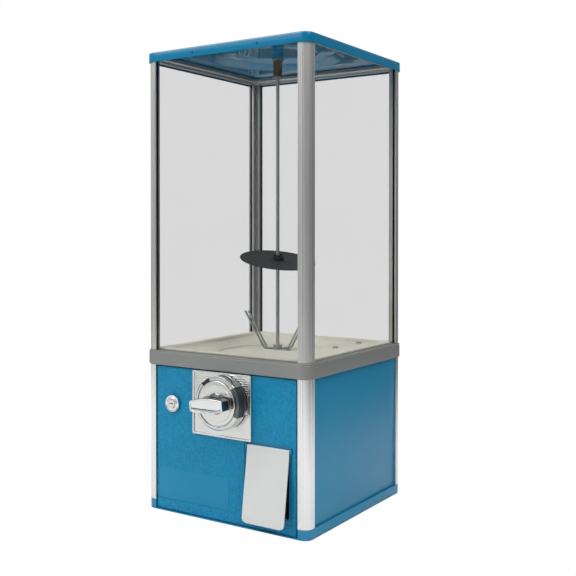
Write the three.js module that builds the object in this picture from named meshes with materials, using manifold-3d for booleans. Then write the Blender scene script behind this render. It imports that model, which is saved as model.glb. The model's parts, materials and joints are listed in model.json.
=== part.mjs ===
// Square-cabinet gumball machine: steel base cabinet with a coin mechanism in its door,
// a grey middle band, and a tall clear globe of four flat windows under a lift-off lid.
// Millimetres, +Z up. The origin is the centre of the underside, below the centre rod;
// the door with the coin mechanism faces -Y.
import * as THREE from 'three';
import { mergeVertices } from 'three/addons/utils/BufferGeometryUtils.js';
import Module from 'manifold-3d';

const wasm = await Module();
wasm.setup();

// ---- driving dimensions -------------------------------------------------------------
const GAP = 0.3; // free space left between two touching pieces
const POST_FACE = 132.8; // rod axis to the outer face of the posts and the tray
const CORNER_R = 12; // outer corner radius of posts, tray, band and lid
const POST_WIDE = 15.5; // a post seen from the front
const POST_DEEP = 16.5; // a post seen from the side
const POST_LEG = 9; // thickness of each leg of a post
const SLOT_NEAR = 2.6; // from a post's face to the near and far side of its slots
const SLOT_FAR = 5.8;
const SLOT_DEEP = 5;
const PANE = 2.4; // thickness of windows and cabinet panels
const SLOT_END = 0.5; // free space between a pane's edge and the bottom of its slot
const PANE_FACE = 129.8; // rod axis to their outer face
const TRAY_TOP = 13.2;
const TRAY_FLOOR = 2.5;
const BAND_LOW = 203.5;
const BAND_TOP = 223.5;
const BAND_FACE = 135;
const BAND_OPENING = 113;
const FLANGE_HALF = 123.4; // the hopper's flange on the band
const POST_TOP = 628.5;
const TOP_FRAME_TOP = 638.2;
const LID_FACE = 134.3; // the skirt hangs just outside the tops of the posts
const LID_LOW = 626.8;
const LID_EDGE = 640;
const LID_CROWN = 650;
const LID_WALL = 1.1;

const ROD_R = 2.5;
const WHEEL_TOP = 213.5;
const WHEEL_R = 86.5;
const WHEEL_TEETH = 24;
const TEETH_LOW = 180.5;
const TEETH_TOP = 188.5;
const POCKETS = 4;
const POCKET_R = 19;
const POCKET_CIRCLE = 46;
const BAFFLE_R = 55;
const BAFFLE_Z = 348;

const DOOR_FACE = -131; // the door's front plane
const DOOR_LEFT = -116.5;
const DOOR_RIGHT = 114.5;
const DOOR_LOW = 2;
const DOOR_TOP = 202;
const SHEET = 1.2;
const HINGE_X = 110.9;
const HINGE_Y = -127.4;
const MECH_X = 4; // the coin mechanism's shaft
const MECH_Z = 164;
const DRUM_R = 36;
const DRUM_FRONT = -153;
const PLATE = { x0: -50.8, x1: 46, z0: 115, z1: 201.5 };
const PLATE_BACK = -131.3;
const PLATE_FRONT = -134.3;
const PLATE_RIM = 2.6; // the raised edge round the plate's sunken field
const RIB_PITCH = 3;
const HANDLE_TILT = 0.08; // radians that the handle rests turned, its right end up
const RIB_HIGH = 1.4;
const LOCK_X = -86.6;
const LOCK_Z = 151.6;
const FLAP_PIN_Y = -131.9;
const FLAP_PIN_Z = 110;
const FLAP_LEFT = 40;
const FLAP_RIGHT = 105;
const FLAP_LENGTH = 92.5;
const FLAP_LEAN = 8.2; // degrees that the flap's foot stands out from the door

// ---- finishes -----------------------------------------------------------------------
const finish = (color, roughness, metalness, more = {}) =>
  new THREE.MeshStandardMaterial({ color, roughness, metalness, ...more });
const BLUE = finish(0x0a7ca8, 0.38, 0);
const BRIGHT_ALUMINIUM = finish(0xcfd0d0, 0.25, 1);
const SATIN_ALUMINIUM = finish(0x9c9c9a, 0.4, 1);
const BAND_GREY = finish(0x7a7c7a, 0.45, 0.3);
const CLEAR = finish(0xe8eeee, 0.05, 0, { transparent: true, opacity: 0.3 });
const CREAM = finish(0xd8d6c4, 0.45, 0);
const CHROME = finish(0xe2e2e2, 0.08, 1);
const ZINC = finish(0x9aa3a3, 0.35, 1);
const BLACK = finish(0x3c4142, 0.7, 0);
const BRASS = finish(0x9a7a4c, 0.35, 1);
const FLAP_GREY = finish(0xd1d3ce, 0.4, 0.2);
const STEEL = finish(0xa0a0a0, 0.4, 1);

// ---- solids -------------------------------------------------------------------------
function solid(geometry) {
  const bare = geometry.clone();
  bare.deleteAttribute('normal');
  bare.deleteAttribute('uv');
  const merged = mergeVertices(bare, 1e-4);
  const vertProperties = new Float32Array(merged.attributes.position.array);
  const triVerts = new Uint32Array(merged.index.array);
  return new wasm.Manifold(new wasm.Mesh({ numProp: 3, vertProperties, triVerts }));
}

function surface(manifold) {
  const mesh = manifold.getMesh();
  const geometry = new THREE.BufferGeometry();
  geometry.setAttribute('position', new THREE.BufferAttribute(mesh.vertProperties, 3));
  geometry.setIndex(new THREE.BufferAttribute(mesh.triVerts, 1));
  return geometry;
}

function join(first, ...others) {
  return surface(others.reduce((whole, piece) => whole.add(solid(piece)), solid(first)));
}

function cut(body, ...tools) {
  return surface(tools.reduce((left, tool) => left.subtract(solid(tool)), solid(body)));
}

function overlap(first, second) {
  return surface(solid(first).intersect(solid(second)));
}

// A block between two corners.
function block(x0, x1, y0, y1, z0, z1) {
  const geometry = new THREE.BoxGeometry(x1 - x0, y1 - y0, z1 - z0);
  return geometry.translate((x0 + x1) / 2, (y0 + y1) / 2, (z0 + z1) / 2);
}

// A round bar standing along Z.
function post(radius, z0, z1, x = 0, y = 0, sides = 24) {
  const geometry = new THREE.CylinderGeometry(radius, radius, z1 - z0, sides);
  return geometry.rotateX(Math.PI / 2).translate(x, y, (z0 + z1) / 2);
}

// A round bar lying along Y, front to back.
function spindle(radius, y0, y1, x = MECH_X, z = MECH_Z, sides = 24) {
  const geometry = new THREE.CylinderGeometry(radius, radius, y1 - y0, sides);
  return geometry.translate(x, (y0 + y1) / 2, z);
}

// A round bar lying along X.
function pin(radius, x0, x1, y, z, sides = 16) {
  const geometry = new THREE.CylinderGeometry(radius, radius, x1 - x0, sides);
  return geometry.rotateZ(Math.PI / 2).translate((x0 + x1) / 2, y, z);
}

// A turned shape about Z from a closed profile of [radius, z] pairs.
function turned(profile, sides = 40) {
  const points = profile.map(([r, z]) => new THREE.Vector2(r, z));
  points.push(points[0].clone());
  const geometry = new THREE.LatheGeometry(points, sides).rotateX(Math.PI / 2);
  const body = solid(geometry);
  return body.volume() > 0 ? geometry : inverted(geometry);
}

function inverted(geometry) {
  const index = geometry.index.array;
  for (let i = 0; i < index.length; i += 3) {
    const swap = index[i + 1];
    index[i + 1] = index[i + 2];
    index[i + 2] = swap;
  }
  return geometry;
}

// A turned shape about the shaft, its profile given as [radius, y] pairs.
function turnedOnShaft(profile, sides = 40) {
  return turned(profile.map(([r, y]) => [r, -y]), sides).rotateX(Math.PI / 2)
    .translate(MECH_X, 0, MECH_Z);
}

function outline(points) {
  return new THREE.Shape(points.map(([a, b]) => new THREE.Vector2(a, b)));
}

function extruded(shape, depth, curveSegments = 3) {
  return new THREE.ExtrudeGeometry(shape, { depth, bevelEnabled: false, curveSegments });
}

// A flat outline in XY carried up from z0 to z1.
function raised(shape, z0, z1, curveSegments) {
  return extruded(shape, z1 - z0, curveSegments).translate(0, 0, z0);
}

// A flat outline in XZ carried back from y0 to y1.
function carriedBack(shape, y0, y1, curveSegments) {
  return extruded(shape, y1 - y0, curveSegments).rotateX(Math.PI / 2).translate(0, y1, 0);
}

// A flat outline in YZ carried across from x0 to x1.
function carriedAcross(shape, x0, x1) {
  return extruded(shape, x1 - x0).rotateY(Math.PI / 2).rotateX(Math.PI / 2).translate(x0, 0, 0);
}

function roundedRectangle(x0, x1, y0, y1, r) {
  const shape = new THREE.Shape();
  shape.moveTo(x0 + r, y0);
  shape.lineTo(x1 - r, y0);
  shape.absarc(x1 - r, y0 + r, r, -Math.PI / 2, 0);
  shape.lineTo(x1, y1 - r);
  shape.absarc(x1 - r, y1 - r, r, 0, Math.PI / 2);
  shape.lineTo(x0 + r, y1);
  shape.absarc(x0 + r, y1 - r, r, Math.PI / 2, Math.PI);
  shape.lineTo(x0, y0 + r);
  shape.absarc(x0 + r, y0 + r, r, Math.PI, Math.PI * 1.5);
  return shape;
}

function roundedSquare(half, r) {
  return roundedRectangle(-half, half, -half, half, r);
}

// Where a ray from the centre at this angle meets a square with rounded corners.
function squarePoint(half, r, angle) {
  const c = Math.cos(angle);
  const s = Math.sin(angle);
  const straight = half / Math.max(Math.abs(c), Math.abs(s));
  const small = Math.min(Math.abs(c), Math.abs(s)) * straight;
  if (small <= half - r) return [c * straight, s * straight];
  const centre = half - r;
  const along = centre * (Math.abs(c) + Math.abs(s));
  const reach = along + Math.sqrt(along * along - 2 * centre * centre + r * r);
  return [c * reach, s * reach];
}

// Bearings round a square, close together where its corners are round.
const LOFT_STEPS = [-37.5, -28, -19, -10, -2.9, -1.5, 0, 1.5, 2.9, 10, 19, 28, 37.5];
const LOFT_ANGLES = [45, 135, 225, 315].flatMap((corner) =>
  LOFT_STEPS.map((step) => (corner + step) * Math.PI / 180));

// A closed skin through rings of points: each ring is a circle {r, z} or a rounded
// square {half, corner, z}, and the last ring joins the first.
function lofted(rings) {
  const sides = LOFT_ANGLES.length;
  const positions = [];
  for (const ring of rings) {
    for (const angle of LOFT_ANGLES) {
      const [x, y] = ring.half
        ? squarePoint(ring.half, ring.corner, angle)
        : [ring.r * Math.cos(angle), ring.r * Math.sin(angle)];
      positions.push(x, y, ring.z);
    }
  }
  const index = [];
  rings.forEach((ring, j) => {
    const here = j * sides;
    const next = ((j + 1) % rings.length) * sides;
    for (let i = 0; i < sides; i += 1) {
      const k = (i + 1) % sides;
      index.push(here + i, here + k, next + k, here + i, next + k, next + i);
    }
  });
  const geometry = new THREE.BufferGeometry();
  geometry.setAttribute('position', new THREE.Float32BufferAttribute(positions, 3));
  geometry.setIndex(index);
  return solid(geometry).volume() > 0 ? geometry : inverted(geometry);
}

// A bar with a round section carried along a smooth path.
function wire(points, radius, steps) {
  const path = new THREE.CatmullRomCurve3(points.map((p) => new THREE.Vector3(...p)));
  const section = new THREE.Shape();
  section.absarc(0, 0, radius, 0, Math.PI * 2);
  return new THREE.ExtrudeGeometry(section, { extrudePath: path, steps, curveSegments: 4 });
}

function hexagon(across, cx = 0, cy = 0) {
  const reach = across / Math.sqrt(3);
  const corners = Array.from({ length: 6 }, (_, i) => [
    cx + reach * Math.cos(i * Math.PI / 3),
    cy + reach * Math.sin(i * Math.PI / 3),
  ]);
  return outline(corners);
}

// A toothed outline: straight-sided teeth between a root and a tip radius.
function toothed(teeth, root, tip, rootShare, tipShare, cx, cz) {
  const pitch = Math.PI * 2 / teeth;
  const corners = [];
  for (let i = 0; i < teeth; i += 1) {
    const middle = Math.PI / 2 + i * pitch;
    const stations = [[root, -rootShare], [tip, -tipShare], [tip, tipShare], [root, rootShare]];
    for (const [r, share] of stations) {
      const angle = middle + share * pitch / 2;
      corners.push([cx + r * Math.cos(angle), cz + r * Math.sin(angle)]);
    }
  }
  return outline(corners);
}

// ---- the assembly -------------------------------------------------------------------
const machine = new THREE.Group();
const cabinet = new THREE.Group();
const globe = new THREE.Group();
const lidGroup = new THREE.Group();
const doorGroup = new THREE.Group();
const vendGroup = new THREE.Group();
machine.add(cabinet, globe, lidGroup, doorGroup, vendGroup);

function place(group, name, geometry, material) {
  const mesh = new THREE.Mesh(geometry, material);
  mesh.name = name;
  group.add(mesh);
}

const CORNERS = [
  { name: 'front_left', sx: -1, sy: -1 },
  { name: 'front_right', sx: 1, sy: -1 },
  { name: 'back_left', sx: -1, sy: 1 },
  { name: 'back_right', sx: 1, sy: 1 },
];

// The posts are one extrusion: an angle with a round outer corner and two slots that
// hold the windows or the panels. Distances run inwards from the two outer faces.
function postSection({ sx, sy }) {
  const arc = [0, 1, 2, 3, 4].map((i) => {
    const angle = i * Math.PI / 8;
    return [CORNER_R * (1 - Math.sin(angle)), CORNER_R * (1 - Math.cos(angle))];
  });
  const inner = [
    [0, POST_DEEP],
    [SLOT_NEAR, POST_DEEP], [SLOT_NEAR, POST_DEEP - SLOT_DEEP],
    [SLOT_FAR, POST_DEEP - SLOT_DEEP], [SLOT_FAR, POST_DEEP],
    [POST_LEG, POST_DEEP], [POST_LEG, POST_LEG], [POST_WIDE, POST_LEG],
    [POST_WIDE, SLOT_FAR], [POST_WIDE - SLOT_DEEP, SLOT_FAR],
    [POST_WIDE - SLOT_DEEP, SLOT_NEAR], [POST_WIDE, SLOT_NEAR],
    [POST_WIDE, 0],
  ];
  return outline([...arc, ...inner].map(([a, b]) => [sx * (POST_FACE - a), sy * (POST_FACE - b)]));
}

function makePosts() {
  for (const corner of CORNERS) {
    const section = postSection(corner);
    place(cabinet, `lower_post_${corner.name}`,
      raised(section, TRAY_TOP + GAP, BAND_LOW - GAP), BRIGHT_ALUMINIUM);
    place(globe, `upper_post_${corner.name}`,
      raised(section, BAND_TOP + GAP, POST_TOP), SATIN_ALUMINIUM);
  }
}

// ---- base cabinet -------------------------------------------------------------------
const TRAY_WALL = 126.8;
const TRAY_FRONT = -121.8; // the wall that stands behind the door
const TRAY_FRONT_INSIDE = -117.5;
const DOOR_SPACE = 117.3; // half the space between the two front feet
const SILL_TOP = 1.5; // the tray's lip under the door

function makeTray() {
  const whole = raised(roundedSquare(POST_FACE, CORNER_R), 0, TRAY_TOP);
  const hollow = block(-TRAY_WALL, TRAY_WALL, TRAY_FRONT_INSIDE, TRAY_WALL,
    TRAY_FLOOR, TRAY_TOP + 1);
  const doorSpace = block(-DOOR_SPACE, DOOR_SPACE, -140, TRAY_FRONT, SILL_TOP, TRAY_TOP + 1);
  const feet = CORNERS.map(({ sx, sy }) => {
    const xs = [sx * (POST_FACE - POST_WIDE), sx * POST_FACE].sort((a, b) => a - b);
    const ys = [sy * (POST_FACE - POST_DEEP), sy * POST_FACE].sort((a, b) => a - b);
    return overlap(block(...xs, ...ys, 0, TRAY_TOP), whole);
  });
  place(cabinet, 'base_tray', join(cut(whole, hollow, doorSpace), ...feet), BLUE);
}

function makePanels(group, names, z0, z1, material) {
  const inner = PANE_FACE - PANE;
  const alongY = POST_FACE - POST_DEEP + SLOT_DEEP - SLOT_END;
  const alongX = POST_FACE - POST_WIDE + SLOT_DEEP - SLOT_END;
  const places = {
    left: [-PANE_FACE, -inner, -alongY, alongY],
    right: [inner, PANE_FACE, -alongY, alongY],
    back: [-alongX, alongX, inner, PANE_FACE],
    front: [-alongX, alongX, -PANE_FACE, -inner],
  };
  for (const [side, name] of Object.entries(names)) {
    place(group, name, block(...places[side], z0, z1), material);
  }
}

function makeBand() {
  const outer = raised(roundedSquare(BAND_FACE, CORNER_R + 2), BAND_LOW, BAND_TOP);
  const opening = raised(roundedSquare(BAND_OPENING, 10), BAND_LOW - 1, BAND_TOP + 1);
  const topPinHole = post(1.9, BAND_LOW - 1, BAND_LOW + 5, HINGE_X, HINGE_Y, 16);
  place(cabinet, 'mid_frame', cut(outer, opening, topPinHole), BAND_GREY);
}

function makeDoorPins() {
  place(cabinet, 'door_hinge_pin_upper',
    post(1.6, DOOR_TOP - 6, BAND_LOW + 4.5, HINGE_X, HINGE_Y, 16), STEEL);
  place(cabinet, 'door_hinge_pin_lower',
    post(1.6, SILL_TOP + GAP, DOOR_LOW + 6, HINGE_X, HINGE_Y, 16), STEEL);
}

const BOX = { x0: -110, x1: 5, y0: -104, y1: 60, z0: 3, z1: 92 };
const BOX_WALL = 1.5;

function makeCoinBox() {
  const w = BOX_WALL;
  const outer = raised(roundedRectangle(BOX.x0, BOX.x1, BOX.y0, BOX.y1, 6), BOX.z0, BOX.z1);
  const inner = raised(roundedRectangle(BOX.x0 + w, BOX.x1 - w, BOX.y0 + w, BOX.y1 - w, 5),
    BOX.z0 + w, BOX.z1 + 1);
  place(cabinet, 'coin_box', cut(outer, inner), STEEL);
}

// The chute drops from the outlet hole and slopes forward to the flap.
const CHUTE_WALL = 2;
const CHUTE_TOP = 175.5;

function makeChute() {
  const w = CHUTE_WALL;
  const drop = carriedBack(outline([[13, CHUTE_TOP], [13, 128], [36, 104], [106, 104],
    [106, CHUTE_TOP]]), -54, -6);
  const slope = carriedAcross(outline([[-6, 122], [-6, 98], [-121.5, 20], [-121.5, 110],
    [-54, 122]]), 36, 106);
  const dropInside = carriedBack(outline([[13 + w, 180], [13 + w, 128.8], [38, 104.8],
    [106 - w, 104.8], [106 - w, 180]]), -54 + w, -6 - w);
  const slopeInside = carriedAcross(outline([[-8, 120], [-8, 99.2], [-124, 20.8],
    [-124, 107.4], [-55, 119.6]]), 38, 104);
  place(cabinet, 'chute', cut(join(drop, slope), dropInside, slopeInside), BLACK);
}

// ---- hopper, wheel and agitator -----------------------------------------------------
const FLOOR_TOP = 197;
const GEAR_WAY = 34; // half the window that lets the drive gear reach the wheel
const OUTLET_ANGLE = -Math.PI * 2 / 9;

function makeHopper() {
  const skin = lofted([
    { half: FLANGE_HALF, corner: 8, z: 226 },
    { half: 111, corner: 10, z: 226 },
    { half: 109, corner: 10, z: 224 },
    { r: 88.5, z: 214.5 },
    { r: 88, z: 213.5 },
    { r: 88, z: 179 },
    { r: 71, z: 179 },
    { r: 71, z: FLOOR_TOP },
    { r: 6, z: FLOOR_TOP },
    { r: 6, z: 193.5 },
    { r: 68, z: 193.5 },
    { r: 68, z: 176 },
    { r: 91, z: 176 },
    { r: 91, z: 210.5 },
    { half: 111.6, corner: 10, z: 222 },
    { half: 111.6, corner: 10, z: 223.8 },
    { half: FLANGE_HALF, corner: 8, z: 223.8 },
  ]);
  const gearWay = block(-GEAR_WAY, GEAR_WAY, -100, -71.6, 170, 190);
  const outlet = post(POCKET_R + 1, 190, 200,
    POCKET_CIRCLE * Math.cos(OUTLET_ANGLE), POCKET_CIRCLE * Math.sin(OUTLET_ANGLE), 20);
  place(vendGroup, 'hopper', cut(skin, gearWay, outlet), CREAM);
}

function makeWheel() {
  const disc = turned([[2.9, 217], [20, 217], [22, WHEEL_TOP], [WHEEL_R, WHEEL_TOP],
    [WHEEL_R, TEETH_TOP], [74, TEETH_TOP], [74, 208], [9, 208], [9, 197.6], [2.9, 197.6]], 40);
  const tubes = [];
  const holes = [];
  for (let i = 0; i < POCKETS; i += 1) {
    const angle = OUTLET_ANGLE + i * Math.PI * 2 / POCKETS + Math.PI / POCKETS;
    const x = POCKET_CIRCLE * Math.cos(angle);
    const y = POCKET_CIRCLE * Math.sin(angle);
    tubes.push(post(POCKET_R + 2.2, 197.6, 209, x, y, 20));
    holes.push(post(POCKET_R, 190, 220, x, y, 20));
  }
  const teeth = [];
  const meshAngle = Math.atan2(-80, MECH_X);
  for (let i = 0; i < WHEEL_TEETH; i += 1) {
    const angle = meshAngle + (i + 0.5) * Math.PI * 2 / WHEEL_TEETH;
    teeth.push(block(74.5, 86, -2.5, 2.5, TEETH_LOW, TEETH_TOP + 1).rotateZ(angle));
  }
  place(vendGroup, 'dispensing_wheel', cut(join(disc, ...tubes, ...teeth), ...holes), CREAM);
}

const AGITATOR_ANGLE = Math.atan2(0.554, 0.833); // the arms stand across this bearing

function makeAgitator() {
  const base = cut(join(post(11, 217.3, 219.5), block(-19, 19, -6.5, 6.5, 217.3, 219.5)),
    post(2.9, 216, 221));
  const arms = [-1, 1].map((side) => wire([
    [side * 15, -3, 218.6], [side * 18, -3, 221], [side * 24, -3, 232],
    [side * 42, -3, 268], [side * 45, -1.8, 274], [side * 45.6, 0, 275.5],
    [side * 45, 1.8, 274], [side * 42, 3, 268],
    [side * 24, 3, 232], [side * 18, 3, 221], [side * 15, 3, 218.6],
  ], 1.3, 20));
  const whole = join(base, ...arms);
  place(vendGroup, 'agitator', whole.rotateZ(AGITATOR_ANGLE), ZINC);
  const nut = cut(raised(hexagon(13), 219.8, 225.3), post(2.9, 219, 226));
  place(vendGroup, 'agitator_nut', nut, ZINC);
}

const GUARD_SCREWS = [[79.4, 29.5], [82.9, 93]];

// the guard lies along the front and the right of the bowl, clear of the agitator
const GUARD_BARS = [[-24, 110, -97, -35], [62, 110, -97, 106]];

function guardShape(inset, low, high) {
  const bars = GUARD_BARS.map(([x0, x1, y0, y1]) => raised(
    roundedRectangle(x0 + inset, x1 - inset, y0 + inset, y1 - inset, 10 - inset), low, high));
  return join(...bars);
}

function makeGuard() {
  const cover = guardShape(0, 214.3, 223);
  const inside = guardShape(2.5, 213, 220.4);
  const bowl = lofted([
    { half: 110.5, corner: 10, z: 230 }, { half: 110.5, corner: 10, z: 225.2 },
    { r: 89.6, z: 215.2 }, { r: 60, z: 214.2 }, { r: 1, z: 214.2 }, { r: 1, z: 230 },
  ]);
  const holes = GUARD_SCREWS.map(([x, y]) => post(2.2, 210, 225, x, y, 12));
  place(vendGroup, 'outlet_guard', cut(overlap(cut(cover, inside), bowl), ...holes), CREAM);
}

function makeGuardScrews() {
  GUARD_SCREWS.forEach(([x, y], i) => {
    const head = post(4.2, 223.2, 225.2, x, y, 20);
    const cross = join(block(x - 2.6, x + 2.6, y - 0.6, y + 0.6, 224.2, 226),
      block(x - 0.6, x + 0.6, y - 2.6, y + 2.6, 224.2, 226));
    place(vendGroup, `guard_screw_${i === 0 ? 'front' : 'back'}`,
      cut(join(head, post(1.8, 221.2, 224, x, y, 12)), cross), ZINC);
  });
}

function makeRod() {
  place(vendGroup, 'centre_rod', post(ROD_R, 184, 634, 0, 0, 20), ZINC);
  const nut = cut(raised(hexagon(13), 187, 193.2), post(ROD_R + GAP, 186, 194));
  place(vendGroup, 'rod_nut', nut, ZINC);
}

// The baffle is a loose disc that leans on the rod: low towards the front right corner.
const BAFFLE_SLOPE = Math.hypot(0.2, 0.127);
const BAFFLE_BEARING = Math.atan2(-0.127, 0.2);

function leaning(geometry) {
  return geometry.rotateY(Math.atan(BAFFLE_SLOPE)).rotateZ(BAFFLE_BEARING)
    .translate(0, 0, BAFFLE_Z);
}

function makeBaffle() {
  const disc = turned([[6.5, -0.8], [BAFFLE_R, -0.8], [BAFFLE_R, 0.8], [6.5, 0.8]], 40);
  place(vendGroup, 'baffle_disc', leaning(disc), BLACK);
  const collar = turned([[4.9, -3.2], [9, -3.2], [9, -1.2], [6.2, -1.2], [6.2, 1.2],
    [9, 1.2], [7, 8.5], [4.9, 8.5]], 20);
  place(vendGroup, 'baffle_collar', leaning(collar), BLACK);
}

// ---- globe and lid ------------------------------------------------------------------
function makeTopFrame() {
  const outer = raised(roundedSquare(131.8, CORNER_R - 1), POST_TOP + GAP, TOP_FRAME_TOP);
  const opening = raised(roundedSquare(119, 14), POST_TOP, TOP_FRAME_TOP + 1);
  const step = raised(roundedSquare(124.5, 12), POST_TOP, POST_TOP + 4.3);
  place(globe, 'top_frame', cut(outer, opening, step), SATIN_ALUMINIUM);
}

function makeLid() {
  const wall = LID_WALL;
  const skin = lofted([
    { half: LID_FACE, corner: CORNER_R, z: LID_LOW },
    { half: LID_FACE, corner: CORNER_R, z: LID_EDGE - 1.5 },
    { half: LID_FACE - 1.5, corner: CORNER_R, z: LID_EDGE },
    { r: 96, z: LID_EDGE + 1.2 },
    { r: 84, z: LID_CROWN },
    { r: 9.4, z: LID_CROWN },
    { r: 9.4, z: LID_CROWN - wall },
    { r: 83, z: LID_CROWN - wall },
    { r: 95, z: LID_EDGE + 1.2 - wall },
    { half: LID_FACE - wall, corner: CORNER_R - 1, z: LID_EDGE - wall },
    { half: LID_FACE - wall, corner: CORNER_R - 1, z: LID_LOW },
  ]);
  place(lidGroup, 'lid', skin, BLUE);
  const boss = turned([[4.6, 638], [8.8, 638], [8.8, 650.9], [4.6, 650.9]], 28);
  place(lidGroup, 'lid_boss', boss, BLUE);
  const sleeve = cut(post(6.4, 613.4, 636.6, 0, 0, 28), post(3, 613, 634.8, 0, 0, 20));
  place(lidGroup, 'rod_sleeve', sleeve, BRASS);
  const washer = (bore, r, z0, z1) => turned([[bore, z0], [r, z0], [r, z1], [bore, z1]], 20);
  place(lidGroup, 'sleeve_washer_upper', washer(2.2, 8.6, 636.9, 637.7), ZINC);
  place(lidGroup, 'sleeve_washer_lower', washer(3, 8, 611.6, 613.1), ZINC);
  const plug = post(4.3, 640, 651.2, 0, 0, 24);
  const keyway = block(-3, 3, -0.6, 0.6, 648, 652);
  place(lidGroup, 'lid_lock_plug', cut(plug, keyway), CHROME);
}

// ---- door ---------------------------------------------------------------------------
const RECESS = { x0: 34, x1: 108.6, z0: 15, z1: 116 };
const MECH_HOLE_R = 34.5;

function makeDoor() {
  const y1 = DOOR_FACE + 7;
  const pan = block(DOOR_LEFT, DOOR_RIGHT, DOOR_FACE, y1, DOOR_LOW, DOOR_TOP);
  const hollow = block(DOOR_LEFT + SHEET, DOOR_RIGHT - SHEET, DOOR_FACE + SHEET, y1 + 1,
    DOOR_LOW + SHEET, DOOR_TOP - SHEET);
  const window = block(RECESS.x0, RECESS.x1, DOOR_FACE - 1, y1, RECESS.z0, RECESS.z1);
  const mechHole = spindle(MECH_HOLE_R, DOOR_FACE - 1, DOOR_FACE + 4, MECH_X, MECH_Z, 40);
  const lockHole = spindle(8.6, DOOR_FACE - 1, DOOR_FACE + 4, LOCK_X, LOCK_Z);
  const pinHoles = post(2, 0, 210, HINGE_X, HINGE_Y, 16);
  place(doorGroup, 'door_panel',
    cut(pan, hollow, window, mechHole, lockHole, pinHoles), BLUE);
}

function makeFlapFrame() {
  const sheet = block(RECESS.x0 - 4, RECESS.x1 + 2, DOOR_FACE + SHEET + GAP, DOOR_FACE + 3.1,
    RECESS.z0 - 4, RECESS.z1 + 4);
  const opening = block(38, 102.4, -140, -120, 22, 107);
  const ears = [36.6, 105.4].map((x) =>
    block(x, x + 2.4, FLAP_PIN_Y - 1.9, DOOR_FACE + 2, FLAP_PIN_Z - 3, FLAP_PIN_Z + 3));
  const bore = pin(1.25, 30, 112, FLAP_PIN_Y, FLAP_PIN_Z);
  place(doorGroup, 'flap_frame', cut(join(cut(sheet, opening), ...ears), bore), BLUE);
  place(doorGroup, 'flap_hinge_pin', pin(0.95, 36, 108.2, FLAP_PIN_Y, FLAP_PIN_Z), STEEL);
}

// A flat plate rolled round its pin at the top, with a slight bend below the roll.
function makeFlap() {
  const roll = pin(1.9, FLAP_LEFT, FLAP_RIGHT, FLAP_PIN_Y, FLAP_PIN_Z, 20);
  const front = FLAP_PIN_Y - 1.9;
  const neck = block(FLAP_LEFT, FLAP_RIGHT, front, front + 1.6, FLAP_PIN_Z - 7, FLAP_PIN_Z);
  const face = carriedBack(roundedRectangle(FLAP_LEFT, FLAP_RIGHT, -FLAP_LENGTH, 8, 6), 0, 1.6)
    .translate(0, -0.8, 0);
  const topTrim = block(0, 200, -10, 10, 0, 20);
  const blade = cut(face, topTrim).rotateX(-FLAP_LEAN * Math.PI / 180)
    .translate(0, front + 0.8, FLAP_PIN_Z - 5.5);
  const bore = pin(1.25, 30, 112, FLAP_PIN_Y, FLAP_PIN_Z);
  return cut(join(roll, neck, blade), bore);
}

function makeLock() {
  const y = DOOR_FACE;
  const barrel = turned([[6.2, 4.5], [11.7, 4.5], [12, 3.2], [12, 0.3], [8.2, 0.3],
    [8.2, -12], [6.2, -12]], 28).rotateX(Math.PI / 2).translate(LOCK_X, y, LOCK_Z);
  place(doorGroup, 'door_lock_barrel', barrel, CHROME);
  const nut = cut(carriedBack(hexagon(23, LOCK_X, LOCK_Z), y + 1.6, y + 5.6),
    spindle(8.5, y, y + 8, LOCK_X, LOCK_Z));
  place(doorGroup, 'door_lock_nut', nut, ZINC);
  const plug = cut(spindle(5.9, y - 4.8, y + 14, LOCK_X, LOCK_Z),
    block(LOCK_X - 3.6, LOCK_X + 3.6, y - 6, y - 2, LOCK_Z - 0.7, LOCK_Z + 0.7));
  place(doorGroup, 'door_lock_plug', plug, CHROME);
  const cam = carriedBack(roundedRectangle(LOCK_X - 6, LOCK_X + 6, LOCK_Z - 33,
    LOCK_Z + 7, 5), y + 14.3, y + 16.3);
  place(doorGroup, 'door_lock_cam', cam, ZINC);
}

// ---- coin mechanism -----------------------------------------------------------------
function makeCoinPlate() {
  const { x0, x1, z0, z1 } = PLATE;
  const plate = block(x0, x1, PLATE_FRONT, PLATE_BACK, z0, z1);
  const field = block(x0 + PLATE_RIM, x1 - PLATE_RIM, PLATE_FRONT - 1, PLATE_FRONT + 1.2,
    z0 + PLATE_RIM, z1 - PLATE_RIM + 0.1);
  const ribs = [];
  for (let z = MECH_Z + 2; z < z1 - RIB_PITCH; z += RIB_PITCH) {
    ribs.push(block(x0 + 2.2, x1 - 2.2, PLATE_FRONT + 0.3, PLATE_FRONT + 2, z, z + RIB_HIGH));
  }
  const hole = spindle(22, PLATE_FRONT - 5, PLATE_BACK + 1);
  place(doorGroup, 'coin_plate', cut(join(cut(plate, field), ...ribs), hole), CHROME);
}

function makeDrum() {
  const back = PLATE_FRONT - GAP;
  const shell = turnedOnShaft([[5.2, DRUM_FRONT], [DRUM_R - 2, DRUM_FRONT],
    [DRUM_R, DRUM_FRONT + 2], [DRUM_R, back], [32.5, back], [32.5, DRUM_FRONT + 3.2],
    [5.2, DRUM_FRONT + 3.2]], 36);
  const mouth = carriedBack(outline([[MECH_X, MECH_Z + 20], [MECH_X + 22, MECH_Z + 42],
    [MECH_X - 28, MECH_Z + 42]]), DRUM_FRONT + 3.2, back - 2.5);
  const face = spindle(32.4, DRUM_FRONT - 1, back);
  place(doorGroup, 'coin_drum', cut(shell, cut(mouth, face)), CHROME);
}

function makeCoinDisc() {
  const disc = turnedOnShaft([[4.8, -146], [31.8, -146], [31.8, -140], [4.8, -140]], 36);
  const pocket = spindle(12.6, -144.6, -141.4, MECH_X, MECH_Z + 24, 28);
  place(doorGroup, 'coin_disc', cut(disc, pocket), ZINC);
}

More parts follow.
